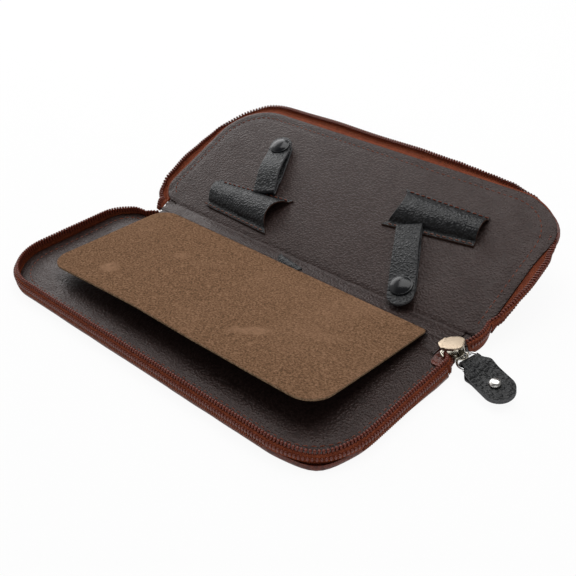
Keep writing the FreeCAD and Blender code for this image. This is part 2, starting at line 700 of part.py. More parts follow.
def make_pull(hook):
    """The ring through the slider's arch and the leather tab looped round it."""
    way = turned(Z, size("pull_yaw")).multiply(turned(Y, -size("pull_pitch")))
    way = way.multiply(turned(X, size("pull_roll")))
    angle = math.radians(size("ring_hook_angle"))
    reach = V(math.cos(angle), math.sin(angle), 0) * size("ring_radius")
    place = FreeCAD.Placement(hook - way.multVec(reach), way)
    ring = doc.addObject("Part::Torus", "Ring")
    bind(ring, "Radius1", "ring_radius")
    bind(ring, "Radius2", "ring_wire / 2")
    piece("pull_ring", ring, place)

    thick = "(ring_wire / 2 + tab_ring_play + tab_layer)"
    slot = "(ring_wire / 2 + tab_ring_play)"
    end = "tab_start + tab_length"
    thin = "tab_end_wall / 2"
    side = free_sketch("Tab_side", FreeCAD.Placement(V(), UPRIGHT), [
        ("tab_start", f"-{slot}"), ("tab_slot_start", f"-{thick}"), ("tab_slot", f"-{thick}"),
        ("tab_thin", f"-{thin}"), (end, f"-{thin}"), (end, thin), ("tab_thin", thin),
        ("tab_slot", thick), ("tab_slot_start", thick), ("tab_start", slot)])
    draw(side, [("tab_slot_start", f"-{slot}"), ("tab_slot", f"-{slot}"),
                ("tab_slot + tab_layer", "0"), ("tab_slot", slot), ("tab_slot_start", slot)])
    neck, wide = "tab_neck / 2", "tab_width / 2"
    curve = "tab_width / 2"
    plan = free_sketch("Tab_plan", HERE, [
        ("tab_start", f"-{neck}"), ("tab_slot", f"-{neck}"),
        ("tab_slot + tab_shoulder", f"-{wide}"), (f"{end} - {curve}", f"-{wide}"), (end, "0"),
        (f"{end} - {curve}", wide), ("tab_slot + tab_shoulder", wide), ("tab_slot", neck),
        ("tab_start", neck)], {3: (curve, True), 4: (curve, True)})
    draw(plan, [], holes=[("rivet_at", "0", "rivet_shank / 2 + snap_clearance")])
    solids = []
    for sketch, long, name in ((side, "tab_width * 2", "Tab_long"), (plan, "tab_width", "Tab_flat")):
        solid = doc.addObject("Part::Extrusion", name)
        solid.Base = sketch
        solid.DirMode = "Normal"
        solid.Solid = True
        solid.Symmetric = True
        bind(solid, "LengthFwd", long)
        solids.append(solid)
    tab = doc.addObject("Part::Common", "Tab")
    tab.Base, tab.Tool = solids
    piece("pull_tab", tab, place)
    top = "(tab_end_wall / 2 + seat_gap)"
    bead = "(((rivet_head / 2) ^ 2 + (rivet_rise - cap_rim) ^ 2) / (2 * (rivet_rise - cap_rim)))"
    rivet = [("0", f"-{top} - cap_rim"), ("rivet_head / 2", f"-{top} - cap_rim"),
             ("rivet_head / 2", f"-{top}"), ("rivet_shank / 2", f"-{top}"),
             ("rivet_shank / 2", top), ("rivet_head / 2", top),
             ("rivet_head / 2", f"{top} + cap_rim"), ("0", f"{top} + rivet_rise")]
    turned_piece("pull_rivet", spot(place, "rivet_at", "0", "0"), rivet, {6: (bead, True)})


make_panel("front")
make_spine()
make_panel("rear")
make_zip()
make_zip_ends()
make_page()
make_sleeve("shears_sleeve_right", spot(
    REAR, "case_length / 2 - right_sleeve_from_end", "right_sleeve_v", "cover_wall + board_wall + lining_wall + seat_gap",
    "right_sleeve_turn"), "sleeve_height", "sleeve_end_height")
make_sleeve("shears_sleeve_left", spot(
    REAR, "left_sleeve_from_end - case_length / 2", "left_sleeve_v", "cover_wall + board_wall + lining_wall + seat_gap",
    "left_sleeve_turn"), "sleeve_height", "sleeve_end_height")
make_strap("right")
make_strap("left")
make_slider()
doc.recompute()

for thing in doc.Objects:
    bad = {"Invalid", "Error"} & set(thing.State)
    if bad:
        raise RuntimeError(f"{thing.Label}: {sorted(bad)}")
os.makedirs("parts", exist_ok=True)
for node, thing in pieces.items():
    shape = thing.Shape
    if shape.isNull() or not shape.isValid():
        raise RuntimeError(f"{node}: shape is not sound")
    if node.startswith("zip_coil"):
        expected = len(shape.Solids)
    else:
        expected = 2 if node == "page_anchor" else 1
    if len(shape.Solids) != expected:
        raise RuntimeError(f"{node}: {len(shape.Solids)} solids")
    shape.exportStep(f"parts/{node}.step")
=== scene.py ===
"""Looks of the open shears case: leathers, suede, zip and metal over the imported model."""

import json
import math

import bmesh
import bpy
from mathutils import Matrix, Vector, noise

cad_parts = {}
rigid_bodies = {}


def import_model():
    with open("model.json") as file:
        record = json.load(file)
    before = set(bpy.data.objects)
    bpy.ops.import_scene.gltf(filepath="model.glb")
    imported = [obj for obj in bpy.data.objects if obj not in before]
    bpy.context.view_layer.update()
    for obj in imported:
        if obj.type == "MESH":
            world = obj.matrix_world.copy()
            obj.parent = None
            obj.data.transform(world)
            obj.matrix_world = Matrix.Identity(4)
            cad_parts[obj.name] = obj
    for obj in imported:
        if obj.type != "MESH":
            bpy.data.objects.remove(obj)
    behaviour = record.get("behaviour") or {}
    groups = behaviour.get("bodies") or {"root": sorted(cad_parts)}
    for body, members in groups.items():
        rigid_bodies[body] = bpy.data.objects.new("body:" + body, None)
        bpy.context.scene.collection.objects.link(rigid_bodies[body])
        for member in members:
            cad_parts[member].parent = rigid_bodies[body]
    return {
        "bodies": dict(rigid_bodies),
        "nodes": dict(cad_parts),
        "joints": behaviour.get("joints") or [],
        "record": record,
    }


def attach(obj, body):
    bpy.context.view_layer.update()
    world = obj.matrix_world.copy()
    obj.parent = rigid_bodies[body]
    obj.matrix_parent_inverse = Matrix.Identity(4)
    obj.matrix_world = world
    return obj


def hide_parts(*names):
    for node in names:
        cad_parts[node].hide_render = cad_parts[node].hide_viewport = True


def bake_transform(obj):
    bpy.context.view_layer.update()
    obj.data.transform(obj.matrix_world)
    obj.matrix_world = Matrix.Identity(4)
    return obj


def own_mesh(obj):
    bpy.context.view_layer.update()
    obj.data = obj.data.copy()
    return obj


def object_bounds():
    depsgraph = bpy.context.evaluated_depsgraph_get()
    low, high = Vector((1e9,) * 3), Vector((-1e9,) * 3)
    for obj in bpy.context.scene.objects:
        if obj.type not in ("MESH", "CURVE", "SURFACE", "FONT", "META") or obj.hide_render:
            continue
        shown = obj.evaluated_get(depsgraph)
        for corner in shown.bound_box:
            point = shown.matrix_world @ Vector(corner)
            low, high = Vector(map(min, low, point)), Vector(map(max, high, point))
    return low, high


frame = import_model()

CAD_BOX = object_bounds()

# sizes in millimetres, from the drawing of the case
HALF_LENGTH, NEAR, FAR = 110.0, 9.65, 97.5
FAR_CORNER, FREE_CORNER, SLIDER_CORNER = 29.0, 17.5, 8.0
LINING_TOP = 3.0
ROW_PITCH = 1.6

FOLD = Vector((0, 9.5, 1.0))
FRONT = Matrix.Rotation(math.pi, 4, "Z")
REAR = Matrix.Translation(FOLD) @ Matrix.Rotation(math.radians(21.6), 4, "X") @ Matrix.Translation(-FOLD)
HERE = Matrix.Identity(4)
TO_METRES = Matrix.Scale(0.001, 4)


def spot(place, u, v, w, turn=0.0):
    """A place on a half, turned in its plane by degrees."""
    return place @ Matrix.Translation((u, v, w)) @ Matrix.Rotation(math.radians(turn), 4, "Z")


# ---- modelling

def settle(bm, name, finish, body, place=HERE, replaces=(), slot=None, smooth=40, turn_out=True):
    """Makes the finished piece from its bmesh, puts it in place and fixes it to its body."""
    bmesh.ops.transform(bm, matrix=TO_METRES @ place, verts=bm.verts)
    if turn_out:
        bmesh.ops.recalc_face_normals(bm, faces=bm.faces)
    mesh = bpy.data.meshes.new(name)
    bm.to_mesh(mesh)
    bm.free()
    piece = bpy.data.objects.new(name, mesh)
    bpy.context.scene.collection.objects.link(piece)
    mesh.materials.append(finish)
    mesh.shade_smooth()
    if smooth:
        mesh.set_sharp_from_angle(angle=math.radians(smooth))
    if body:
        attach(piece, body)
    if replaces:
        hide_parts(*replaces)
    return piece


def blank(x0, x1, y0, y1, step, step_y=None):
    """A flat sheet of squares, ready for cutting."""
    bm = bmesh.new()
    nx, ny = max(2, round((x1 - x0) / step)), max(2, round((y1 - y0) / (step_y or step)))
    bmesh.ops.create_grid(bm, x_segments=nx, y_segments=ny, size=0.5)
    scale = Matrix.Diagonal((x1 - x0, y1 - y0, 1, 1))
    middle = Matrix.Translation(((x0 + x1) / 2, (y0 + y1) / 2, 0))
    bmesh.ops.transform(bm, matrix=middle @ scale, verts=bm.verts)
    return bm


def cut_round(bm, cx, cy, radius, first, last, cuts=10):
    """Cuts a corner round with a knife held at several angles."""
    for n in range(cuts + 1):
        angle = math.radians(first + (last - first) * n / cuts)
        out = Vector((math.cos(angle), math.sin(angle), 0))
        knife = Vector((cx, cy, 0)) + out * radius
        geometry = bm.verts[:] + bm.edges[:] + bm.faces[:]
        bmesh.ops.bisect_plane(bm, geom=geometry, dist=1e-5, plane_co=knife, plane_no=out, clear_outer=True)


def panel_blank(half, inset, step, near=None):
    """One half's rounded outline, cut from a sheet."""
    minus, plus = (SLIDER_CORNER, FREE_CORNER) if half == "front" else (FREE_CORNER, SLIDER_CORNER)
    low = NEAR + inset if near is None else near
    side, far = HALF_LENGTH - inset, FAR - inset
    bm = blank(-side, side, low, far, step)
    big = FAR_CORNER - inset
    cut_round(bm, side - big, far - big, big, 0, 90, 16)
    cut_round(bm, -side + big, far - big, big, 90, 180, 16)
    cut_round(bm, -side + minus - inset, low + minus - inset, minus - inset, 180, 270, 8)
    cut_round(bm, side - plus + inset, low + plus - inset, plus - inset, 270, 360, 8)
    return bm


def give_wall(bm, wall):
    """Gives a flat sheet its thickness, upwards."""
    raised = bmesh.ops.extrude_face_region(bm, geom=bm.faces[:], use_keep_orig=True)["geom"]
    top = [g for g in raised if isinstance(g, bmesh.types.BMVert)]
    bmesh.ops.translate(bm, vec=(0, 0, wall), verts=top)
    bmesh.ops.recalc_face_normals(bm, faces=bm.faces)
    return top


def soften_rim(bm, width, segments=2):
    """Rounds the cut edges of a sheet."""
    rim = [e for e in bm.edges if len(e.link_faces) == 2 and e.calc_face_angle(0) > 1.2]
    bmesh.ops.bevel(bm, geom=rim, offset=width, segments=segments, affect="EDGES", profile=0.5,
                    material=-1, clamp_overlap=True)


def hand(p, size, seed):
    """Slow unevenness, from -1 to 1."""
    return noise.noise(Vector((p[0] / size, p[1] / size, seed)))


def rim_runs(half, inset=0.0):
    """The line round a half as turns and straights, at an inset from the edge."""
    h, top = HALF_LENGTH, FAR
    front = half == "front"
    spine = SLIDER_CORNER if front else FREE_CORNER
    runs = []
    if front:
        runs.append(("turn", Vector((h - FREE_CORNER, NEAR + FREE_CORNER, 0)), FREE_CORNER - inset, -80, 0))
        start = NEAR + FREE_CORNER
    else:
        start = NEAR + SLIDER_CORNER
    runs.append(("line", Vector((h - inset, start, 0)), Vector((h - inset, top - FAR_CORNER, 0))))
    runs.append(("turn", Vector((h - FAR_CORNER, top - FAR_CORNER, 0)), FAR_CORNER - inset, 0, 90))
    runs.append(("line", Vector((h - FAR_CORNER, top - inset, 0)), Vector((-h + FAR_CORNER, top - inset, 0))))
    runs.append(("turn", Vector((-h + FAR_CORNER, top - FAR_CORNER, 0)), FAR_CORNER - inset, 90, 180))
    runs.append(("line", Vector((-h + inset, top - FAR_CORNER, 0)), Vector((-h + inset, NEAR + spine, 0))))
    if not front:
        runs.append(("turn", Vector((-h + FREE_CORNER, NEAR + FREE_CORNER, 0)), FREE_CORNER - inset, 180, 245))
    return runs


def walk(runs, pitch, start=0.0):
    """Places along the line at a steady pitch: the point and the direction of travel."""
    left = start
    for run in runs:
        if run[0] == "line":
            a, b = run[1], run[2]
            length, way = (b - a).length, (b - a).normalized()
        else:
            centre, radius, first, last = run[1:]
            length = radius * math.radians(last - first)
        while left <= length:
            if run[0] == "line":
                yield a + way * left, way
            else:
                angle = math.radians(first) + left / radius
                out = Vector((math.cos(angle), math.sin(angle), 0))
                yield centre + out * radius, Vector((-out.y, out.x, 0))
            left += pitch
        left -= length


def draw_along(half, section, step=3.0):
    """A band drawn round a half: a closed section of (outward, up) carried along the rim."""
    bm = bmesh.new()
    runs = rim_runs(half)
    point, way = next(walk(runs, 1.0))
    out = Vector((way.y, -way.x, 0))
    ring = [bm.verts.new(point + out * e + Vector((0, 0, w))) for e, w in section]
    for a, b in zip(ring, ring[1:] + ring[:1]):
        bm.edges.new((a, b))
    last = bm.verts[:] + bm.edges[:]
    first_edges = bm.edges[:]
    for run in runs:
        if run[0] == "turn":
            centre, radius, first, final = run[1:]
            steps = max(4, round(math.radians(final - first) * radius / step))
            last = bmesh.ops.spin(bm, geom=last, cent=centre, axis=(0, 0, 1),
                                  angle=math.radians(final - first), steps=steps)["geom_last"]
        else:
            steps = max(1, round((run[2] - run[1]).length / step))
            for _ in range(steps):
                edges = [g for g in last if isinstance(g, bmesh.types.BMEdge)]
                last = bmesh.ops.extrude_edge_only(bm, edges=edges)["geom"]
                verts = [g for g in last if isinstance(g, bmesh.types.BMVert)]
                last = verts + [g for g in last if isinstance(g, bmesh.types.BMEdge)]
                bmesh.ops.translate(bm, vec=(run[2] - run[1]) / steps, verts=verts)
    bmesh.ops.remove_doubles(bm, verts=bm.verts, dist=1e-4)
    bmesh.ops.holes_fill(bm, edges=[e for e in bm.edges if e.is_boundary], sides=0)
    return bm


def scatter(pattern, places):
    """Copies of one small shape at many places."""
    bm = bmesh.new()
    for place in places:
        before = len(bm.verts)
        bm.from_mesh(pattern)
        bm.verts.ensure_lookup_table()
        bmesh.ops.transform(bm, matrix=place, verts=bm.verts[before:])
    return bm


def tooth_pattern(length, thick, depth):
    """One turn of the nylon coil as it shows: a rounded bar with a fuller head."""
    bm = bmesh.new()
    bmesh.ops.create_cube(bm, size=1.0)
    bmesh.ops.transform(bm, matrix=Matrix.Diagonal((thick, length, depth, 1)), verts=bm.verts)
    bmesh.ops.bevel(bm, geom=bm.edges[:], offset=thick * 0.33, segments=2, affect="EDGES", profile=0.5,
                    material=-1)
    head = [v for v in bm.verts if v.co.y > length * 0.3]
    bmesh.ops.scale(bm, vec=(1.25, 1.0, 1.12), verts=head)
    mesh = bpy.data.meshes.new("tooth_pattern")
    bm.to_mesh(mesh)
    bm.free()
    return mesh


def stitch_pattern(length, thread):
    """One stitch: a short thread that dips into the leather at both ends."""
    bm = bmesh.new()
    bmesh.ops.create_uvsphere(bm, u_segments=6, v_segments=6, radius=0.5)
    bmesh.ops.rotate(bm, cent=(0, 0, 0), matrix=Matrix.Rotation(math.pi / 2, 3, "Y"), verts=bm.verts)
    bmesh.ops.transform(bm, matrix=Matrix.Diagonal((length, thread, thread, 1)), verts=bm.verts)
    for v in bm.verts:
        v.co.z -= 0.25 * thread * abs(2 * v.co.x / length) ** 2
    mesh = bpy.data.meshes.new("stitch_pattern")
    bm.to_mesh(mesh)
    bm.free()
    return mesh


def frame_at(point, way, up=0.0, roll=0.0, skew=0.0):
    """A place whose X is the direction of travel and Z is up."""
    side = Vector((-way.y, way.x, 0))
    turn = Matrix((way, side, Vector((0, 0, 1)))).transposed().to_4x4()
    return (Matrix.Translation(point + Vector((0, 0, up))) @ turn @ Matrix.Rotation(skew, 4, "Z")
            @ Matrix.Rotation(roll, 4, "X"))


def lathe(points, steps=40):
    """A round piece turned from its half section of (radius, height)."""
    bm = bmesh.new()
    verts = [bm.verts.new((r, 0, z)) for r, z in points]
    for a, b in zip(verts, verts[1:]):
        bm.edges.new((a, b))
    bmesh.ops.spin(bm, geom=bm.verts[:] + bm.edges[:], cent=(0, 0, 0), axis=(0, 0, 1),
                   angle=2 * math.pi, steps=steps, use_merge=True)
    bmesh.ops.remove_doubles(bm, verts=bm.verts, dist=1e-4)
    return bm


# ---- finishes

class Finish:
    """A material on the shader's own sockets, with its nodes added by hand."""

    def __init__(self, name, colour, roughness, metallic=0.0, coat=0.0, sheen=0.0, specular=0.5):
        self.material = bpy.data.materials.new(name)
        self.material.use_nodes = True
        self.tree = self.material.node_tree
        self.shader = self.tree.nodes["Principled BSDF"]
        self.put("Base Color", (*colour, 1))
        self.put("Roughness", roughness)
        self.put("Metallic", metallic)
        self.put("Coat Weight", coat)
        self.put("Coat Roughness", 0.25)
        self.put("Sheen Weight", sheen)
        self.put("Sheen Roughness", 0.5)
        self.put("Specular IOR Level", specular)
        self.where = self.add("ShaderNodeTexCoord").outputs["Object"]

    def put(self, socket, value):
        self.shader.inputs[socket].default_value = value

    def add(self, kind, **settings):
        node = self.tree.nodes.new(kind)
        for key, value in settings.items():
            setattr(node, key, value)
        return node

    def link(self, out, into):
        self.tree.links.new(out, into)

    def noise(self, size_mm, detail=2.0, roughness=0.5, place=None, distortion=0.0):
        node = self.add("ShaderNodeTexNoise")
        node.inputs["Scale"].default_value = 1000.0 / size_mm
        node.inputs["Detail"].default_value = detail
        node.inputs["Roughness"].default_value = roughness
        node.inputs["Distortion"].default_value = distortion
        self.link(place or self.where, node.inputs["Vector"])
        return node.outputs["Fac"]

    def cells(self, size_mm, feature="F1", place=None, smoothness=0.6):
        node = self.add("ShaderNodeTexVoronoi", feature=feature)
        node.inputs["Scale"].default_value = 1000.0 / size_mm
        if feature == "SMOOTH_F1":
            node.inputs["Smoothness"].default_value = smoothness
        self.link(place or self.where, node.inputs["Vector"])
        return node.outputs["Distance"]

    def warped(self, size_mm, amount_mm):
        """Object places pushed about a little, so that a grain isn't regular."""
        node = self.add("ShaderNodeTexNoise")
        node.inputs["Scale"].default_value = 1000.0 / size_mm
        node.inputs["Detail"].default_value = 1.0
        self.link(self.where, node.inputs["Vector"])
        push = self.add("ShaderNodeVectorMath", operation="MULTIPLY_ADD")
        self.link(node.outputs["Color"], push.inputs[0])
        push.inputs[1].default_value = (amount_mm / 1000,) * 3
        self.link(self.where, push.inputs[2])
        return push.outputs["Vector"]

    def span(self, value, low, high, to_low=0.0, to_high=1.0, smooth=True):
        node = self.add("ShaderNodeMapRange")
        if smooth:
            node.interpolation_type = "SMOOTHSTEP"
        self.link(value, node.inputs["Value"])
        for key, number in (("From Min", low), ("From Max", high), ("To Min", to_low), ("To Max", to_high)):
            node.inputs[key].default_value = number
        return node.outputs["Result"]

    def sum(self, a, b, operation="ADD"):
        node = self.add("ShaderNodeMath", operation=operation)
        for n, value in enumerate((a, b)):
            if isinstance(value, (int, float)):
                node.inputs[n].default_value = value
            else:
                self.link(value, node.inputs[n])
        return node.outputs["Value"]

    def tint(self, colour, other, amount):
        """Mixes a colour (numbers or a socket) with another by an amount."""
        node = self.add("ShaderNodeMix", data_type="RGBA")
        for value, n in ((colour, 6), (other, 7)):
            if isinstance(value, tuple):
                node.inputs[n].default_value = (*value, 1)
            else:
                self.link(value, node.inputs[n])
        if isinstance(amount, float):
            node.inputs[0].default_value = amount
        else:
            self.link(amount, node.inputs[0])
        return node.outputs[2]

    def bump(self, height, depth_mm, strength=1.0, under=None):
        node = self.add("ShaderNodeBump")
        node.inputs["Strength"].default_value = strength
        node.inputs["Distance"].default_value = depth_mm / 1000
        self.link(height, node.inputs["Height"])
        if under:
            self.link(under, node.inputs["Normal"])
        self.link(node.outputs["Normal"], self.shader.inputs["Normal"])
        return node.outputs["Normal"]

    def patch(self, x, y, long, wide, turn=0.0, soft=0.35):
        """1 inside an oval spot of the object, falling to 0 at its edge."""
        node = self.add("ShaderNodeMapping", vector_type="TEXTURE")
        node.inputs["Location"].default_value = (x / 1000, y / 1000, 0)
        node.inputs["Rotation"].default_value = (0, 0, math.radians(turn))
        node.inputs["Scale"].default_value = (long / 1000, wide / 1000, 1.0)
        self.link(self.where, node.inputs["Vector"])
        length = self.add("ShaderNodeVectorMath", operation="LENGTH")
        self.link(node.outputs["Vector"], length.inputs[0])
        return self.span(length.outputs["Value"], 1.0 - soft, 1.0, 1.0, 0.0)


def leather(name, colour, valley, grain, depth, roughness, specular=0.5, coat=0.0, blotch=0.25):
    """Grained leather: pebbles with darker valleys and slow changes of tone."""
    f = Finish(name, colour, roughness, coat=coat, specular=specular)
    place = f.warped(grain * 2.2, grain * 1.1)
    pebble = f.cells(grain, "SMOOTH_F1", place)
    fine = f.noise(grain * 0.4, 3.0, 0.6)
    height = f.sum(f.span(pebble, 0.05, 0.7, 1.0, 0.0), f.sum(fine, 0.45, "MULTIPLY"))
    f.bump(height, depth)
    toned = f.tint(colour, valley, f.span(pebble, 0.35, 0.8, 0.0, 0.75))
    light = tuple(min(1.0, c * 1.35) for c in colour)
    toned = f.tint(toned, light, f.span(f.noise(24, 3.0), 0.45, 0.75, 0.0, blotch))
    f.link(toned, f.shader.inputs["Base Color"])
    f.link(f.span(f.noise(9, 2.0), 0.3, 0.7, roughness - 0.05, roughness + 0.06), f.shader.inputs["Roughness"])
    return f


def suede(name, colour):
    """Short brown nap with fine speckle, soft smudges and rubbed spots."""
    f = Finish(name, colour, 0.95, specular=0.03)
    speck = f.noise(0.95, 3.0, 0.8)
    nap = f.noise(2.6, 3.0, 0.6, f.warped(3.0, 1.2))
    dark = tuple(c * 0.5 for c in colour)
    pale = tuple(min(1.0, c * 1.55 + 0.02) for c in colour)
    toned = f.tint(dark, colour, f.span(speck, 0.38, 0.52))
    toned = f.tint(toned, pale, f.span(speck, 0.52, 0.64, 0.0, 0.75))
    toned = f.tint(toned, dark, f.span(nap, 0.42, 0.2, 0.0, 0.3))
    toned = f.tint(toned, pale, f.span(f.noise(38, 2.0), 0.5, 0.8, 0.0, 0.22))
    rubs = ((-55.8, -64.8, 6.6, 6.2, 0, 0.55), (36, -57.5, 11, 4.5, 40, 0.5), (29, -63, 5, 3, 80, 0.3),
            (62, -40, 12, 5, 25, 0.2), (-38.2, -33.3, 6, 4, 40, 0.3), (-22, -30, 13, 5, 40, 0.12))
    for x, y, long, wide, turn, amount in rubs:
        spot_here = f.sum(f.patch(x, y, long, wide, turn, 0.55), amount, "MULTIPLY")
        toned = f.tint(toned, pale, f.sum(spot_here, f.span(nap, 0.3, 0.6, 0.6, 1.1), "MULTIPLY"))
    f.link(toned, f.shader.inputs["Base Color"])
    f.bump(f.sum(speck, f.sum(nap, 0.5, "MULTIPLY")), 0.16)
    return f


def cloth(name, colour, dark, thread=0.55, roughness=0.62, sheen=0.2):
    """Close woven tape."""
    f = Finish(name, colour, roughness, sheen=sheen, specular=0.1)
    knot = f.cells(thread, "F1")
    slub = f.noise(3.5, 3.0, 0.6)
    toned = f.tint(colour, dark, f.span(knot, 0.3, 0.75, 0.0, 0.7))
    toned = f.tint(toned, dark, f.span(slub, 0.4, 0.7, 0.0, 0.45))
    f.link(toned, f.shader.inputs["Base Color"])
    f.bump(f.span(knot, 0.1, 0.8, 1.0, 0.0), 0.10)
    return f


def metal(name, colour, roughness, brushed=0.0, spots=0.0):
    """Plated metal with faint handling marks."""
    f = Finish(name, colour, roughness, metallic=1.0)
    if brushed:
        f.link(f.span(f.noise(1.6, 4.0, 0.7), 0.3, 0.7, roughness - brushed, roughness + brushed),
               f.shader.inputs["Roughness"])
        f.bump(f.noise(0.5, 2.0), 0.012)
    if spots:
        dull = tuple(c * 0.55 for c in colour)
        f.link(f.tint(colour, dull, f.span(f.noise(4.0, 3.0), 0.52, 0.72, 0.0, spots)),
               f.shader.inputs["Base Color"])
    return f


LINING = leather("dark_brown_lining", (0.029, 0.017, 0.015), (0.010, 0.0055, 0.0045), 1.15, 0.14, 0.40, 0.25)
LINING.put("Specular Tint", (1.0, 0.85, 0.82, 1))
COVER = leather("red_brown_cover", (0.14, 0.030, 0.016), (0.05, 0.011, 0.007), 1.6, 0.16, 0.34, 0.3, 0.0)
BLACK = leather("black_pebbled_leather", (0.0125, 0.0130, 0.0145), (0.003, 0.003, 0.0035), 1.2, 0.26, 0.36, 0.27)
COARSE = leather("coarse_black_leather", (0.012, 0.0125, 0.0135), (0.003, 0.003, 0.0035), 1.55, 0.4, 0.36, 0.30)
CUT_BLACK = leather("cut_edge_grey", (0.10, 0.10, 0.105), (0.05, 0.05, 0.052), 0.5, 0.04, 0.75, 0.3)
CUT_BROWN = leather("cut_edge_brown", (0.085, 0.040, 0.026), (0.04, 0.018, 0.012), 0.5, 0.04, 0.75, 0.3)
SUEDE = suede("brown_suede", (0.205, 0.113, 0.063))
SUEDE_EDGE = suede("suede_cut_edge", (0.33, 0.215, 0.13))
PAGE_BACK = cloth("black_backing", (0.02, 0.018, 0.018), (0.01, 0.009, 0.009), 0.6, 0.85)
TAPE = cloth("red_brown_tape", (0.265, 0.062, 0.024), (0.10, 0.019, 0.009), 0.5, 0.6, 0.0)
RIBS = cloth("tape_ribs", (0.29, 0.078, 0.034), (0.12, 0.026, 0.012), 0.4, 0.5, 0.0)
THREAD = cloth("red_brown_thread", (0.25, 0.078, 0.048), (0.14, 0.04, 0.025), 0.3, 0.6, 0.0)
PALE_THREAD = cloth("pale_thread", (0.26, 0.125, 0.095), (0.14, 0.07, 0.055), 0.3, 0.6, 0.0)
COIL = Finish("zip_coil_nylon", (0.145, 0.030, 0.016), 0.34, specular=0.35)
SLIDER_METAL = metal("antique_nickel", (0.44, 0.355, 0.265), 0.42, 0.05, 0.3)
POST_METAL = metal("dark_nickel", (0.40, 0.37, 0.31), 0.22, 0.05, 0.4)
RING_METAL = metal("bright_chrome", (0.80, 0.80, 0.80), 0.09)
RIVET_METAL = metal("silver_rivet", (0.76, 0.74, 0.71), 0.24, 0.06, 0.25)
STEEL = metal("plain_steel", (0.68, 0.68, 0.68), 0.2)
SNAP = Finish("gunmetal_snap", (0.008, 0.0085, 0.010), 0.18, specular=0.32)


# ---- the two leather shells and their linings

def rim_gap(u, v):
    """How far a point of a half lies inside its outer edge."""
    across, along = abs(u) - (HALF_LENGTH - FAR_CORNER), v - (FAR - FAR_CORNER)
    if across > 0 and along > 0:
        return FAR_CORNER - math.hypot(across, along)
    return min(HALF_LENGTH - abs(u), FAR - v)


def with_spine(half, inset, step, ends):
    """A half's outline with its share of the spine, cut from one sheet."""
    side, far = HALF_LENGTH - inset, FAR - inset
    bm = blank(-side, side, 0.02, far, step)
    low = NEAR + inset
    geometry = bm.verts[:] + bm.edges[:] + bm.faces[:]
    bmesh.ops.bisect_plane(bm, geom=geometry, dist=1e-5, plane_co=(0, low, 0), plane_no=(0, 1, 0))

    def cut(wanted, place, out):
        faces = [f for f in bm.faces if wanted(f.calc_center_median())]
        geometry = list({v for f in faces for v in f.verts} | {e for f in faces for e in f.edges}) + faces
        bmesh.ops.bisect_plane(bm, geom=geometry, dist=1e-5, plane_co=place, plane_no=out, clear_outer=True)

    for way, end in ends.items():
        cut(lambda c: c.y < low, (end, 0, 0), (way, 0, 0))
    minus, plus = (SLIDER_CORNER, FREE_CORNER) if half == "front" else (FREE_CORNER, SLIDER_CORNER)
    corners = ((1, far, FAR_CORNER - inset, 0, 90), (-1, far, FAR_CORNER - inset, 90, 180),
               (-1, low, minus - inset, 180, 268), (1, low, plus - inset, 272, 360))
    for way, level, radius, first, last in corners:
        cx = way * (side - radius)
        cy = level - radius if level == far else level + radius
        for n in range(15):
            angle = math.radians(first + (last - first) * n / 14)
            out = Vector((math.cos(angle), math.sin(angle), 0))
            cut(lambda c: c.y > low and c.x * way > 0, Vector((cx, cy, 0)) + out * radius, out)
    return bm


def bent(half):
    """Carries a flat point of a half, spine included, to where it lies in the open case."""
    def to(co):
        if half == "front":
            return FRONT @ co
        share = min(1.0, max(0.0, (co.y - 7.6) / 3.8))
        share = share * share * (3 - 2 * share)
        return co.lerp(REAR @ co, share)
    return to


def lining_height(half, u, v):
    """The lining's unevenness: pressed in along the seam and creased at the fold."""
    gap = rim_gap(u, v)
    rise = -0.34 * math.exp(-((gap - 5.9) / 1.1) ** 2)
    if v > 12:
        rise -= 0.25 * max(0.0, 1 - gap / 2.2)
    rise -= 0.3 * math.exp(-((v - 9.6) / 1.8) ** 2)
    rise += 0.16 * hand((u, v), 22, 1.7 if half == "front" else 6.2)
    rise += 0.10 * hand((u, v * 0.6), 7, 3.3) * math.exp(-((v - 12) / 9) ** 2)
    return rise


def make_shell(half):
    """One half's cover and lining, each carried over its share of the spine."""
    to = bent(half)
    free = 92.0
    ends = {-1: -98.6, 1: free} if half == "front" else {-1: -95.0, 1: 101.7}
    for name, inset, base, wall, finish, step in (("cover", 0.0, 0.0, 1.0, COVER, 2.6),
                                                  ("lining", 1.0, 2.2, 0.8, LINING, 1.9)):
        bm = with_spine(half, inset, step, ends)
        top = set(give_wall(bm, wall))
        bm.verts.index_update()
        for v in bm.verts:
            if name == "lining":
                lift = lining_height(half, v.co.x, v.co.y)
                v.co.z += base + (lift if v in top else min(lift, 0) * 0.6)
            else:
                v.co.z += base + 0.06 * hand(v.co, 18, 9.1)
        soften_rim(bm, 0.22)
        for v in bm.verts:
            if half == "rear" and v.co.x > 78 and v.co.y > 60 and rim_gap(v.co.x, v.co.y) < 8:
                turn = math.degrees(math.atan2(v.co.y - 68.5, v.co.x - 81))
                reach = 2.6 * math.exp(-((turn - 24) / 26) ** 2) * (1 - rim_gap(v.co.x, v.co.y) / 8)
                v.co += Vector((math.cos(math.radians(turn)), math.sin(math.radians(turn)), -0.1)) * reach
        for v in bm.verts:
            v.co = to(v.co.copy())
        nodes = {"cover": [f"outer_cover_{half}"], "lining": [f"lining_{half}"]}[name]
        if half == "front":
            nodes.append("outer_cover_spine" if name == "cover" else "lining_spine")
        piece = settle(bm, f"{name}_leather_{half}", finish.material, None, replaces=nodes,
                       slot="lining" if name == "lining" else "outer_leather", smooth=50)
        if half == "front":
            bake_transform(piece)
        else:
            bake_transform(piece)


make_shell("front")
make_shell("rear")


# ---- zip: rolled edges, tapes, coils, ribs and seams

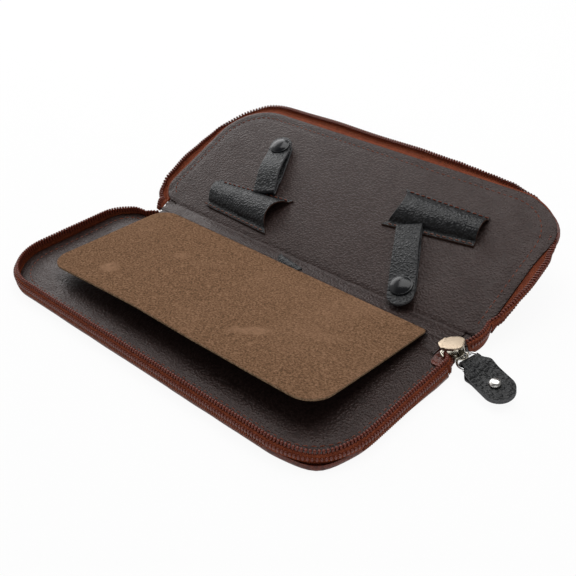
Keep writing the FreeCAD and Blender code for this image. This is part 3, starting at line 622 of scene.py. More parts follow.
PLACE = {"front": FRONT, "rear": REAR}
EDGE_ROLL = {
    "front": [(-2.5, 0.0), (0.4, 0.0), (0.95, 0.25), (1.2, 0.9), (1.15, 1.9), (0.92, 2.7), (0.8, 2.7), (0.64, 1.02),
              (-2.5, 1.02)],
    "rear": [(-2.5, 0.0), (0.5, 0.0), (0.95, 0.2), (1.15, 0.55), (1.0, 0.9), (0.55, 1.0), (-2.5, 1.02)],
}
# where the coil's heads run: distance round the half, outward from its edge, up
HEADS = {
    "front": [(0, 0.0, 6.6), (7, 0.0, 7.6), (30, 0.2, 8.6), (80, 0.5, 8.9), (130, 0.4, 8.7), (180, 0.5, 8.9), (230, 0.4, 8.7),
              (272, 0.5, 8.7), (296, 0.7, 8.1), (318, 0.2, 8.8), (350, -0.4, 8.8), (370, -0.6, 8.7), (384, -0.3, 7.9)],
    "rear": [(0, 1.3, 8.6), (7, 3.6, 7.6), (17, 5.2, 7.0), (30, 6.3, 5.3), (43, 5.9, 4.7), (52, 3.6, 3.4),
             (58, 1.8, 0.2), (64, 0.6, -3.4), (74, -0.4, -5.4), (84, -0.2, -5.4), (92, 3.0, -3.8), (106, 5.8, -2.0), (118, 6.3, -1.2),
             (128, 6.6, -0.4), (137, 6.9, 0.2), (163, 7.2, 1.0), (190, 7.0, 1.0), (220, 7.3, 1.6), (250, 7.0, 1.1),
             (268, 6.9, 0.6), (281, 6.4, -0.7), (292, 5.9, -1.3), (303, 6.4, -0.6), (316, 7.0, 0.5), (330, 7.2, 1.8),
             (345, 6.4, 1.5), (353, 5.4, 0.8), (360, 5.0, 2.6), (366, 4.5, 3.4)],
}
FOOT = (0.3, 1.6)


class Rim:
    """The line that one side of the zip follows, and how the row stands on it."""

    def __init__(self, half):
        runs = rim_runs(half)
        if half == "front":
            runs.append(("turn", Vector((SLIDER_CORNER - HALF_LENGTH, NEAR + SLIDER_CORNER, 0)), SLIDER_CORNER, 180, 248))
        self.half, self.heads, self.lip = half, HEADS[half], 1.7 if half == "front" else 0.6
        self.places = list(walk(runs, 0.5))
        self.body_length = len(list(walk(rim_runs(half), 0.5))) * 0.5 - 0.5
        self.length = len(self.places) * 0.5 - 0.5

    def at(self, s):
        n = min(max(s / 0.5, 0.0), len(self.places) - 1.001)
        first, share = int(n), n - int(n)
        (a, way_a), (b, way_b) = self.places[first], self.places[first + 1]
        way = way_a.lerp(way_b, share).normalized()
        out = Vector((way.y, -way.x, 0))
        push = 1.5 * math.exp(-((s - 295) / 10) ** 2) if self.half == "front" else 0.0
        return a.lerp(b, share) + out * push, way, out

    def head(self, s):
        for (s0, e0, w0), (s1, e1, w1) in zip(self.heads, self.heads[1:]):
            if s <= s1:
                t = (s - s0) / (s1 - s0)
                t = t * t * (3 - 2 * t)
                return Vector((e0 + (e1 - e0) * t, w0 + (w1 - w0) * t))
        return Vector(self.heads[-1][1:])

    def section(self, s):
        """Foot, reach, direction of the tape and its inner side, in (outward, up)."""
        foot = Vector(FOOT)
        chord = self.head(s) - foot
        reach = chord.length
        along = chord / reach
        return foot, reach, along, Vector((-along.y, along.x))

    def slack(self, edge):
        """How far the tape bellies outwards between its seam and its edge."""
        return 0.5 if self.half == "front" else 0.85 * min(1.5, math.sqrt(max(0.0, 3 * edge * (6.9 - edge) / 8)))

    def point(self, s, t, lift):
        """A point of the tape: t from its seam to its edge, lift from its middle."""
        here, way, out = self.at(s)
        foot, reach, along, side = self.section(s)
        edge = max(reach - self.lip, 0.5)
        slack = self.slack(edge)
        if t < 0:
            flat = Vector((foot.x + t * 8, foot.y + lift))
        else:
            blend = min(1.0, t * 4)
            normal = (Vector((0, 1)) * (1 - blend) + side * blend).normalized()
            flat = foot + along * edge * t - side * slack * math.sin(math.pi * t) + normal * lift
        return here + out * flat.x + Vector((0, 0, flat.y + 0.1 * hand(here, 15, 4.5) * max(t, 0)))

    def frame(self, s, back, lift, skew=0.0):
        """A place on the row: X against the travel, Y out along the tape, Z to its inner side."""
        here, way, out = self.at(s)
        foot, reach, along, side = self.section(s)
        edge = max(reach - self.lip, 0.5)
        t = min(1.0, max(0.0, (reach - back) / edge))
        flat = foot + along * (reach - back) + side * (lift - self.slack(edge) * math.sin(math.pi * t))
        y = out * along.x + Vector((0, 0, along.y))
        z = out * side.x + Vector((0, 0, side.y))
        turn = Matrix((-way, y, z)).transposed().to_4x4()
        place = here + out * flat.x + Vector((0, 0, flat.y + 0.1 * hand(here, 15, 4.5)))
        return Matrix.Translation(place) @ turn @ Matrix.Rotation(math.radians(skew), 4, "Z")


def coil_turn(wire, reach, rise):
    """One turn of nylon coil: a wire out to the head, round it and back."""
    bm = bmesh.new()
    half = wire / 2
    bmesh.ops.create_circle(bm, segments=7, radius=half,
                            matrix=Matrix.Translation((0, -reach / 2, rise / 2)) @ Matrix.Rotation(math.pi / 2, 4, "X"))
    head = reach / 2 - rise / 2 - half

    def run(geometry, y):
        edges = [g for g in geometry if isinstance(g, bmesh.types.BMEdge)]
        out = bmesh.ops.extrude_edge_only(bm, edges=edges)["geom"]
        verts = [g for g in out if isinstance(g, bmesh.types.BMVert)]
        bmesh.ops.translate(bm, vec=(0, y, 0), verts=verts)
        return verts + [g for g in out if isinstance(g, bmesh.types.BMEdge)]

    last = run(bm.verts[:] + bm.edges[:], head + reach / 2)
    last = [g for g in last if isinstance(g, bmesh.types.BMVert) or all(v in last for v in g.verts)]
    last = bmesh.ops.spin(bm, geom=last, cent=(0, head, 0), axis=(1, 0, 0), angle=-math.pi, steps=5)["geom_last"]
    run(last, -(head + reach / 2))
    bmesh.ops.remove_doubles(bm, verts=bm.verts, dist=1e-4)
    bmesh.ops.holes_fill(bm, edges=[e for e in bm.edges if e.is_boundary], sides=0)
    bmesh.ops.recalc_face_normals(bm, faces=bm.faces)
    # the heads are a little fuller than the legs
    for v in bm.verts:
        if v.co.y > reach * 0.22:
            v.co.x *= 1.32
    mesh = bpy.data.meshes.new("coil_turn_pattern")
    bm.to_mesh(mesh)
    bm.free()
    return mesh


# for each half: the turn, where it sits; the bead under it; the ribs woven into the tape
TURNS = {"front": (coil_turn(1.0, 3.2, 0.85), 1.6, 0.85), "rear": (coil_turn(0.98, 2.6, 0.75), 1.3, 1.25)}
BEAD = tooth_pattern(1.9, 0.98, 1.05)
RIB = tooth_pattern(2.5, 0.62, 0.5)


def steps(first, last, pitch):
    n = int((last - first) / pitch) + 1
    return [first + pitch * i for i in range(n)]


def tape_sheet(rim, first, last):
    bm = blank(first, last, -0.3, 1.0, 2.0, 0.1)
    give_wall(bm, 0.9)
    soften_rim(bm, 0.05, 1)
    for v in bm.verts:
        v.co = rim.point(v.co.x, v.co.y, v.co.z - 0.45)
    return bm


def make_row(half):
    """One half's side of the zip."""
    place, body = PLACE[half], f"{half}_half"
    rim = Rim(half)
    bm = draw_along(half, EDGE_ROLL[half], 2.5)
    for v in bm.verts:
        if v.co.z > 0.5:
            v.co.z += 0.15 * hand(v.co, 9, 2.2)
        out = Vector((v.co.x / 110, (v.co.y - 50) / 48, 0)).normalized()
        v.co += out * 0.35 * max(0.0, hand(v.co, 13, 6.6))
        if half == "front" and v.co.x < -80 and v.co.y > 30:
            turn = math.degrees(math.atan2(v.co.y - 68.5, v.co.x + 81)) if v.co.y > 68.5 else 180 + (68.5 - v.co.y)
            v.co += out * (3.3 * math.exp(-((turn - 131) / 19) ** 2) - 0.9 * math.exp(-((turn - 190) / 22) ** 2))
    settle(bm, f"rolled_edge_{half}", COVER.material, body, place, slot="outer_leather", smooth=60)

    parts = [("", 0.0, rim.body_length)]
    if half == "front":
        parts.append(("_end", rim.body_length, rim.length))
    for suffix, first, last in parts:
        node = f"zip_end_{half}" if suffix else f"zip_tape_{half}"
        pieces = [settle(tape_sheet(rim, first, last), f"tape_band_{half}{suffix}", TAPE.material, None, place, [node],
                         "tape", 60)]
        turn, back, lift = TURNS[half]
        spots = [rim.frame(s, back, lift, 6) for s in steps(first + 0.8, last - 0.4, ROW_PITCH)]
        pieces.append(settle(scatter(turn, spots), f"coil_turns_{half}{suffix}", COIL.material, None, place,
                             [] if suffix else [f"zip_coil_{half}"], "coil", 60))
        spots = [rim.frame(s, 3.5, -0.5) for s in steps(first + 1.6, last - 0.4, ROW_PITCH)]
        pieces.append(settle(scatter(BEAD, spots), f"tape_beads_{half}{suffix}", COIL.material, None, place,
                             slot="coil", smooth=60))
        side = -0.62 if half == "front" else 0.45
        back = 5.9 if half == "front" else 4.1
        spots = [rim.frame(s, back, side, 22) for s in steps(first + 1.2, last - 0.4, 1.05)
                 if rim.section(s)[1] > back + 1.2]
        pieces.append(settle(scatter(RIB, spots), f"tape_ribs_{half}{suffix}", RIBS.material, None, place,
                             slot="tape", smooth=60))
        for piece in pieces:
            if suffix:
                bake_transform(piece)
            else:
                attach(piece, body)

    # the seam that holds lining and tape
    thread = stitch_pattern(2.5, 0.6)
    spots = []
    for point, way in walk(rim_runs(half, 5.9), 3.3, 1.0):
        if point.y < 14:
            continue
        lift = LINING_TOP + lining_height(half, point.x, point.y) + 0.10
        spots.append(frame_at(point, way, lift, 0.0, math.radians(5 * hand(point, 4, 7.0))))
    settle(scatter(thread, spots), f"seam_stitches_{half}", THREAD.material, body, place, slot="tape", smooth=0)
    return rim


front_rim = make_row("front")
rear_rim = make_row("rear")


def curve(a, b, c, t):
    """A point of the smooth curve from a to c, drawn towards b."""
    return a * (1 - t) ** 2 + b * 2 * t * (1 - t) + c * t * t


def run_on(name, top, foot, inward, nodes, bodies, start, end, both=False):
    """Carries a row of the zip on past the end of its half, between two curves."""
    def frame(t, back, lift):
        here, low = curve(*top, t), curve(*foot, t)
        y = (here - low).normalized()
        ahead = (curve(*top, min(t + 0.02, 1.0)) - curve(*top, max(t - 0.02, 0.0))).normalized()
        x = (ahead - y * ahead.dot(y)).normalized()
        z = x.cross(y)
        if z.dot(inward) < 0:
            x, z = -x, -z
        return Matrix.Translation(here - y * back + z * lift) @ Matrix((x, y, z)).transposed().to_4x4()

    bm = blank(0, 1, 0, 0.88, 0.05, 0.15)
    give_wall(bm, 0.85)
    for v in bm.verts:
        turn = frame(v.co.x, 0, 0).to_3x3()
        v.co = curve(*foot, v.co.x).lerp(curve(*top, v.co.x), v.co.y) + turn @ Vector((0, 0, v.co.z - 0.425))
    pieces = [settle(bm, f"{name}_tape", TAPE.material, None, HERE, nodes, "tape", 60)]
    long = sum((curve(*top, (i + 1) / 40) - curve(*top, i / 40)).length for i in range(40))
    turn, back, lift = TURNS["rear"]
    spots = [frame(s / long, back - 0.4, lift * 0.7) for s in steps(0.9, long - 0.3, ROW_PITCH)]
    pieces.append(settle(scatter(turn, spots), f"{name}_coil_turns", COIL.material, None, HERE, slot="coil", smooth=60))
    if both:
        spots = [frame(s / long, 3.3, -0.5) for s in steps(1.6, long - 0.3, ROW_PITCH)]
        pieces.append(settle(scatter(BEAD, spots), f"{name}_beads", COIL.material, None, HERE, slot="coil", smooth=60))
    for piece in pieces:
        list(bodies)
        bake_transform(piece)
        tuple(start)
        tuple(end)


# the rear tape runs on from its corner to the slider's mouth
to_rear = (("spine", "rear_half"), (0, 0.004, 0.001), (0, 0.0150, 0.002))
run_on("rear_end", [REAR @ rear_rim.point(0.3, 1.13, 0), Vector((113.6, 7.5, 10.4)), Vector((109.8, -2.8, 9.9))],
       [REAR @ rear_rim.point(0.3, -0.05, 0), Vector((113.4, 9.0, 1.6)), Vector((111.0, -1.0, 3.2))],
       Vector((-1, 0, 0.3)), ["zip_end_rear"], *to_rear, both=True)
# at the other end both rows run down to the fold and meet
last = rear_rim.length - 0.3
run_on("rear_free_end", [REAR @ rear_rim.point(last, 1.1, 0), Vector((-102.0, 4.4, 6.2)), Vector((-96.4, -1.5, 3.6))],
       [REAR @ rear_rim.point(last, -0.05, 0), Vector((-98.4, 6.5, 1.8)), Vector((-95.0, 0.0, 1.6))],
       Vector((1, 0, 0.3)), [], *to_rear)
run_on("front_free_end", [FRONT @ front_rim.point(0.2, 1.25, 0), Vector((-93.4, -8.8, 6.4)), Vector((-93.4, -3.6, 3.4))],
       [FRONT @ front_rim.point(0.2, -0.05, 0), Vector((-93.2, -9.2, 1.7)), Vector((-92.6, -3.8, 1.6))],
       Vector((0.3, -1, 0.2)), [], ("front_half", "spine"), (0, -0.0130, 0.001), (0, -0.0050, 0.001), both=True)

# the black end patch between the spine and the slider
bm = blank(98.4, 111.8, -3.6, 7.0, 0.9)
cut_round(bm, 106.8, 2.0, 5.0, 0, 90, 8)
cut_round(bm, 107.6, 0.6, 4.2, 270, 360, 8)
give_wall(bm, 1.0)
soften_rim(bm, 0.25)
for v in bm.verts:
    t = max(0, (v.co.x - 102.5) / 11)
    v.co.z += 0.1 + 3.4 * t * t * (1.6 - 0.6 * t) + 0.12 * hand(v.co, 5, 2.0)
    if v.co.x < 106:
        v.co.y = v.co.y * (0.93 + 0.07 * (v.co.x - 98.4) / 8)
patch = settle(bm, "end_patch_leather", BLACK.material, "spine", replaces=["zip_end_patch"], slot="black_leather")
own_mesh(patch)

# lining let into the corners beside the fold, under the tape's ends
for name, first, last, low, high in (("corner_gusset_free", -98.6, -86.0, 3.5, 14.5),
                                     ("corner_gusset_slider", 97.0, 110.4, 3.0, 19.0)):
    bm = blank(first, last, low, high, 0.9)
    middle = (first + last) / 2
    cut_round(bm, middle, low + (last - first) / 2, (last - first) / 2, 225, 315, 6)
    give_wall(bm, 1.1)
    soften_rim(bm, 0.25)
    for v in bm.verts:
        v.co.z += 1.1
        v.co = bent("rear")(v.co.copy())
    piece = settle(bm, name, LINING.material, None, slot="lining", smooth=50)
    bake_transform(piece)

# the front tape's inner edge is folded under the slider
bm = blank(100.6, 110.2, -17.4, -8.6, 0.8)
cut_round(bm, 106.2, -12.6, 4.0, 0, 90, 8)
cut_round(bm, 103.6, -14.4, 3.0, 180, 270, 6)
give_wall(bm, 0.7)
soften_rim(bm, 0.2)
for v in bm.verts:
    v.co.z += 2.75 + 0.13 * max(0.0, v.co.x - 103) + 0.5 * math.exp(-((v.co.y + 12.2) / 1.3) ** 2)
piece = settle(bm, "front_tape_fold", COVER.material, None, HERE, slot="tape")
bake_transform(piece)

# the fin that the page is sewn to, in two runs
for number, (start, end) in enumerate(((-79.4, -7.1), (19.1, 80.9))):
    bm = blank(start, end, -1.9, 0.7, 1.3)
    give_wall(bm, 1.65)
    soften_rim(bm, 0.45, 3)
    for v in bm.verts:
        v.co.z += 3.0 - 0.1
        v.co.y += 0.25 * hand(v.co, 12, 4.0)
    settle(bm, f"page_seam_fin_{number + 1}", LINING.material, "spine", replaces=["page_anchor"], slot="lining")


# ---- the suede page

def page_rise(u, v):
    """How the page lies: its free corner sags and its edge waves a little."""
    along = max(0.0, v / 76)
    sag = -3.4 * along * max(0.0, (u - 10) / 75) ** 1.5
    lift = 1.0 * along * along * max(0.0, (-u - 20) / 67)
    return sag + lift + 0.45 * hand((u, v), 46, 2.9) * along + 0.12 * hand((u, v), 14, 7.7) * along


PAGE = Matrix.Translation((0, -0.6, 6.3)) @ Matrix.Rotation(math.pi, 4, "Z") @ Matrix.Rotation(math.radians(5.2), 4, "X")
for name, inset, base, wall, finish, node, slot in (
        ("suede_page", 0.0, -0.5, 1.0, SUEDE, "divider_page", "suede"),
        ("page_lining", 0.7, -1.0, 0.48, PAGE_BACK, "page_backing", "page_back")):
    low, far, minus, plus = 2.9 + inset, 80.2 - inset, -90.2 + inset, 86.2 - inset
    if name == "page_lining":
        low = -0.5
    bm = blank(minus, plus, low, far, 2.0)
    big = 12 - inset
    cut_round(bm, plus - big, far - big, big, 0, 90, 12)
    cut_round(bm, minus + big, far - big, big, 90, 180, 12)
    cut_round(bm, minus + 1.5, low + 1.5, 1.5, 180, 270, 4)
    cut_round(bm, plus - 10, low + 10, 10, 270, 360, 10)
    give_wall(bm, wall)
    for face in bm.faces:
        if abs(face.normal.z) < 0.5 and name == "suede_page":
            face.material_index = 1
    soften_rim(bm, 0.2)
    for v in bm.verts:
        v.co.z += base + page_rise(v.co.x, v.co.y) - (0.3 * max(0.0, 3.4 - v.co.y) if name == "page_lining" else 0.0)
    for face in bm.faces:
        if name == "page_lining" and face.calc_center_median().y < 3.4:
            face.material_index = 1
    piece = settle(bm, name, finish.material, "page", PAGE, [node], slot, 50)
    piece.data.materials.append(SUEDE_EDGE.material if name == "suede_page" else LINING.material)

bm = blank(-6.5, 6.5, -1.2, 16.8, 1.0)
cut_round(bm, 0, 10.3, 6.5, 0, 180, 16)
cut_round(bm, -5.0, -0.5, 1.5, 180, 270, 4)
cut_round(bm, 5.0, -0.5, 1.5, 270, 360, 4)
give_wall(bm, 1.0)
soften_rim(bm, 0.25)
for v in bm.verts:
    tip = min(1.0, max(0.0, (3.4 - v.co.y) / 3.0))
    v.co.z += 2.3 * tip * tip * (3 - 2 * tip)
    v.co.x *= 1 + 0.4 * tip
settle(bm, "page_tongue_leather", BLACK.material, "page", spot(PAGE, -6, 0, -2.05, -12), ["page_tongue"],
       "black_leather")


# ---- blade sleeves

def make_sleeve(name, place, body, node, rise_mouth, rise_end, hollow, skew=0.0, stitched=True, narrow=1):
    """A blade sleeve: an arch of leather with a sewn flange on both sides and a hollowed mouth."""
    bm = blank(-8, 52, -1, 1, 1.0)
    bmesh.ops.subdivide_edges(bm, edges=[e for e in bm.edges if abs(e.verts[0].co.y - e.verts[1].co.y) > 0.1],
                              cuts=19, use_grid_fill=True)
    radius = (13 ** 2 + hollow ** 2) / (2 * hollow)

    def wide(s):
        return 13.0 + (9.75 - 13.0) * s / 50

    for v in bm.verts:
        share = min(1.0, max(0.0, (v.co.x + 8) / 60))
        q = v.co.y
        y = q * 13.0
        mouth = hollow - radius + math.sqrt(max(0.0, radius ** 2 - y ** 2))
        end = 50.0 - skew * q
        s = mouth + (end - mouth) * share
        v.co.x, v.co.y = s, q * wide(s)
    top = set(give_wall(bm, 1.0))
    for face in bm.faces:
        face.material_index = 1 if abs(face.normal.z) < 0.5 else 0
    for v in bm.verts:
        s, y = v.co.x, v.co.y
        rise = rise_mouth + (rise_end - rise_mouth) * s / 50
        span = wide(s) - (1.9 if y * narrow > 0 else 3.0)
        q = min(1.0, abs(y) / span)
        arch = max(0.0, 1 - q ** 2.3) ** 0.72
        fold = 0.22 * hand((s, y), 8, 5.1) * (1 - q * q)
        v.co.z = 0.03 + (rise - 1.0) * arch + fold + (1.0 if v in top else 0.0)
        if q >= 1:
            v.co.z += 0.1 * hand((s, y), 6, 1.1)
    soften_rim(bm, 0.18)
    piece = settle(bm, name, BLACK.material, body, place, [node], "black_leather", 60)
    piece.data.materials.append(CUT_BROWN.material)
    if stitched:
        thread = stitch_pattern(2.5, 0.75)
        for way in (-1, 1):
            spots = []
            for n in range(14):
                s = 4.6 + n * 3.35
                if s > 48.5:
                    break
                y = way * (wide(s) - 1.0)
                angle = math.atan2(way * (9.75 - 13.0), 50)
                spots.append(Matrix.Translation((s, y, 1.2)) @ Matrix.Rotation(angle + 0.1 * way, 4, "Z"))
            upper = way * narrow > 0
            settle(scatter(thread, spots), f"{name}_stitches_{'upper' if upper else 'lower'}",
                   (THREAD if upper else PALE_THREAD).material, body, place, slot="black_leather", smooth=0)


make_sleeve("right_sleeve_leather", spot(REAR, 28, 61, 3.05, 4.5), "rear_half", "shears_sleeve_right", 6.2, 5.4, 6.0, 0.3)
make_sleeve("left_sleeve_leather", spot(REAR, -25, 28.2, 3.05, 181.8), "rear_half", "shears_sleeve_left", 6.2, 5.4, 6.0, 3.4, narrow=-1)
UNDER = Matrix.Rotation(math.pi, 4, "X")
make_sleeve("page_sleeve_leather_right", spot(PAGE, 27, 30, -1.05, 180) @ UNDER, "page", "page_sleeve_right",
            4.4, 4.4, 6.0, stitched=False)
make_sleeve("page_sleeve_leather_left", spot(PAGE, -27, 58, -1.05, 0) @ UNDER, "page", "page_sleeve_left",
            4.4, 4.4, 6.0, stitched=False)


# ---- snap straps

def path_of(points):
    """A smooth way through close points of (along, up): place and side at any length of it."""
    line = [Vector((a, 0, b)) for a, b in points]
    lengths = [0.0]
    for a, b in zip(line, line[1:]):
        lengths.append(lengths[-1] + (b - a).length)

    def at(p):
        p = min(max(p, 0.0), lengths[-1])
        n = 1
        while lengths[n] < p and n < len(lengths) - 1:
            n += 1
        share = (p - lengths[n - 1]) / max(lengths[n] - lengths[n - 1], 1e-9)
        here = line[n - 1].lerp(line[n], share)
        a, b = line[max(n - 2, 0)], line[min(n + 1, len(line) - 1)]
        way = (b - a).normalized()
        return here, Vector((-way.z, 0, way.x))
    return at, lengths[-1]


def make_strap(side, u, v, turn, long, base, snap, bulge, end=0.0):
    """A snap strap: from its base round the fold and back over, with the flap arched up to the snap."""
    place = spot(REAR, u, v, 3.0, turn)
    points = []
    n = 40
    for i in range(n + 1):
        s = base + (6.0 - base) * i / n
        t = min(1.0, max(0.0, (12 - s) / 6))
        points.append((s, 0.65 + 1.1 * t * t * (3 - 2 * t)))
    points += [(6.0 - i * 0.5, 1.75) for i in range(1, 12)]
    for i in range(13):
        angle = -math.pi / 2 - math.pi * i / 12
        points.append((0.925 * math.cos(angle), 2.675 + 0.925 * math.sin(angle)))
    steps = 60
    for i in range(1, steps + 1):
        s = long * i / steps
        t = min(1.0, s / (snap - 4.0))
        points.append((s, 3.6 + bulge * math.sin(math.pi * t) ** 1.4 + 0.35 * max(0.0, (s - snap - 6) / 7) ** 2))
    at, total = path_of(points)
    for first, last, part in ((0.0, total - end, "leather"), (total - end, total, "end_leather")):
        if last - first < 1:
            continue
        bm = blank(first, last, -6.5, 6.5, 0.8)
        if first == 0:
            cut_round(bm, 6.5, 0, 6.5, 90, 270, 18)
        if last == total:
            cut_round(bm, total - 6.5, 0, 6.5, -90, 90, 18)
        give_wall(bm, 1.15)
        for face in bm.faces:
            face.material_index = 1 if abs(face.normal.z) < 0.5 else 0
        soften_rim(bm, 0.2)
        for v in bm.verts:
            here, normal = at(v.co.x)
            y = v.co.y * (1 - 0.04 * math.exp(-((v.co.x - total + snap) / 9) ** 2))
            v.co = here - normal * (v.co.z - 0.575) + Vector((0, y, 0))
        if part == "leather":
            nodes = [f"strap_base_{side}", f"strap_fold_{side}", f"strap_flap_{side}"]
            piece = settle(bm, f"{side}_strap_leather", BLACK.material, None, place, nodes, "black_leather", 60)
            here = [place @ Vector((0, 0, w)) * 0.001 for w in (1.5, 3.1)]
            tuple(here[0])
            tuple(here[1])
            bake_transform(piece)
        else:
            piece = settle(bm, f"{side}_strap_end_leather", BLACK.material, f"{side}_strap", place,
                           [f"strap_end_{side}"], "black_leather", 60)
            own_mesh(piece)
        piece.data.materials.append(CUT_BLACK.material)

    flap = 3.0 + 1.2
    dome = [(0.0, 1.75), (1.6, 1.7), (3.0, 1.52), (4.2, 1.18), (4.9, 0.86), (5.15, 0.7), (5.3, 0.66), (5.55, 0.68),
            (5.75, 0.55), (5.8, 0.3), (5.7, 0.05), (5.3, -0.02), (1.7, -0.02), (1.7, -1.18), (0.0, -1.18)]
    settle(lathe(dome, 48), f"{side}_snap_dome", SNAP.material, f"{side}_strap", spot(place, snap, 0, flap + 0.06),
           [f"snap_cap_{side}"], "snap_black", 45)
    ring = [(2.15, -0.9), (3.7, -0.9), (4.1, -0.6), (4.1, -0.1), (3.9, 0.0), (2.15, 0.0), (2.15, -0.9)]
    settle(lathe(ring, 36), f"{side}_snap_spring_ring", STEEL.material, f"{side}_strap", spot(place, snap, 0, 2.93),
           [f"snap_socket_{side}"], "snap_steel", 45)
    stud = [(0, 0), (3.3, 0), (3.5, 0.1), (3.5, 0.3), (3.2, 0.38), (2.1, 0.42), (1.7, 0.6), (1.8, 0.95), (1.6, 1.12),
            (0, 1.15)]
    settle(lathe(stud, 36), f"{side}_snap_post", STEEL.material, "rear_half", spot(place, snap, 0, 1.3),
           [f"snap_stud_{side}"], "snap_steel", 45)


make_strap("right", 44.8, 51.3, -61.3, 49.6, 44.2, 38.5, 0.8, end=8.2)
make_strap("left", -44.4, 38.4, 114.0, 42.7, 41.0, 35.1, 2.3)


# ---- slider, ring and leather pull

SLIDER = (Matrix.Translation((105.5, -7.5, 7.45)) @ Matrix.Rotation(math.radians(20), 4, "Z")
          @ Matrix.Rotation(math.radians(-15), 4, "Y"))


def wing(nose, base, wall, crown):
    """One wing of the slider: a lobed plate, pointed at the tail and slightly domed."""
    bm = bmesh.new()
    bmesh.ops.create_circle(bm, cap_ends=True, segments=56, radius=1.0)
    tail = -5.5
    for v in bm.verts:
        angle = math.atan2(v.co.y, v.co.x)
        share = (1 - math.cos(angle)) / 2
        x = nose + (tail - nose) * share
        knots = ((tail, 0.5), (-4.3, 2.4), (-3.3, 4.0), (-2.4, 3.8), (-0.8, 4.6), (3.0, 4.7), (4.6, 4.0),
                 (nose - 0.5, 3.3), (nose, 2.3))
        half = knots[-1][1]
        for (x0, h0), (x1, h1) in zip(knots, knots[1:]):
            if x0 <= x <= x1:
                t = (x - x0) / (x1 - x0)
                half = h0 + (h1 - h0) * t * t * (3 - 2 * t)
                break
        y = math.copysign(half, v.co.y) * min(1.0, abs(math.sin(angle)) * 4.5)
        v.co = Vector((x, y, base))
    give_wall(bm, wall)
    edges = [e for e in bm.edges if len(e.link_faces) == 2 and e.calc_face_angle(0) > 1.0]
    bmesh.ops.bevel(bm, geom=edges, offset=0.28, segments=3, affect="EDGES", profile=0.5, material=-1)
    far = [f for f in bm.faces if len(f.verts) > 20]
    bmesh.ops.inset_region(bm, faces=far, thickness=0.7, depth=0.0)
    for face in sorted(bm.faces, key=lambda f: -len(f.verts))[:2]:
        up = face.calc_center_median().z > base + wall / 2
        if up == (crown > 0):
            bmesh.ops.translate(bm, vec=(0, 0, crown), verts=face.verts)
    return bm


def block(x0, x1, y0, y1, z0, z1, soft, segments=3):
    """A rounded block."""
    bm = bmesh.new()
    size = Matrix.Diagonal((x1 - x0, y1 - y0, z1 - z0, 1))
    bmesh.ops.create_cube(bm, size=1.0, matrix=Matrix.Translation(((x0 + x1) / 2, (y0 + y1) / 2, (z0 + z1) / 2)) @ size)
    bmesh.ops.bevel(bm, geom=bm.edges[:], offset=soft, segments=segments, affect="EDGES", profile=0.5, material=-1)
    return bm


def bend_bar(points, wide, thick, soft=0.2):
    """A flat bar bent through points in XZ, of a steady width across Y."""
    at, total = path_of(points)
    bm = blank(0, total, -wide / 2, wide / 2, 0.35)
    give_wall(bm, thick)
    soften_rim(bm, soft)
    for v in bm.verts:
        here, normal = at(v.co.x)
        v.co = here + normal * (v.co.z - thick / 2) + Vector((0, v.co.y, 0))
    return bm


settle(wing(6.0, 1.8, 1.0, 0.1), "slider_inner_wing", SLIDER_METAL.material, "slider", SLIDER, ["slider_body"],
       "slider_metal", 35)
settle(wing(5.6, -2.8, 1.0, -0.15), "slider_outer_wing", POST_METAL.material, "slider", SLIDER, slot="slider_metal",
       smooth=35)
settle(block(3.0, 5.7, -1.3, 1.3, -2.2, 2.2, 0.5), "slider_post", POST_METAL.material, "slider", SLIDER,
       slot="slider_metal", smooth=35)
for side, way in (("left", 1), ("right", -1)):
    for level, (low, high) in (("lower", (-2.1, -0.95)), ("upper", (0.95, 2.1))):
        bm = block(-4.6, 2.9, 0, 0.75, low, high, 0.22, 2)
        bmesh.ops.subdivide_edges(bm, edges=[e for e in bm.edges if e.calc_length() > 4], cuts=8)
        for v in bm.verts:
            edge = 4.25 - 0.06 * (v.co.x - 1.2) ** 2 - (0.12 * (-v.co.x - 1.4) ** 1.6 if v.co.x < -1.4 else 0)
            v.co.y = way * (edge - 0.2 - v.co.y)
        settle(bm, f"slider_rail_{side}_{level}", POST_METAL.material, "slider", SLIDER, slot="slider_metal", smooth=35)
crown = [(-1.1, -2.6), (-1.15, -4.2), (-0.9, -5.1), (-0.2, -5.6), (1.2, -5.7), (4.0, -5.7), (5.4, -5.5), (6.2, -4.9),
         (6.45, -4.0), (6.45, -2.6)]
fine = []
for (a0, b0), (a1, b1) in zip(crown, crown[1:]):
    fine += [(a0 + (a1 - a0) * k / 3, b0 + (b1 - b0) * k / 3) for k in range(3)]
settle(bend_bar(fine + [crown[-1]], 1.8, 0.85), "slider_arch", POST_METAL.material, "slider", SLIDER,
       slot="slider_metal", smooth=45)

hook = SLIDER @ Vector((3.4, 0, -2.8 - 1.2))
WAY = (Matrix.Rotation(math.radians(-13), 4, "Z") @ Matrix.Rotation(math.radians(-3.3), 4, "Y")
       @ Matrix.Rotation(math.radians(10), 4, "X"))
reach = Vector((math.cos(math.radians(178)), math.sin(math.radians(178)), 0)) * 5.35
PULL = Matrix.Translation(hook - WAY @ reach) @ WAY
section = [(5.35 + 0.6 * math.cos(a * math.pi / 7), 0.6 * math.sin(a * math.pi / 7)) for a in range(15)]
settle(lathe(section, 72), "pull_ring_wire", RING_METAL.material, "ring", PULL, ["pull_ring"], "ring_metal", 60)

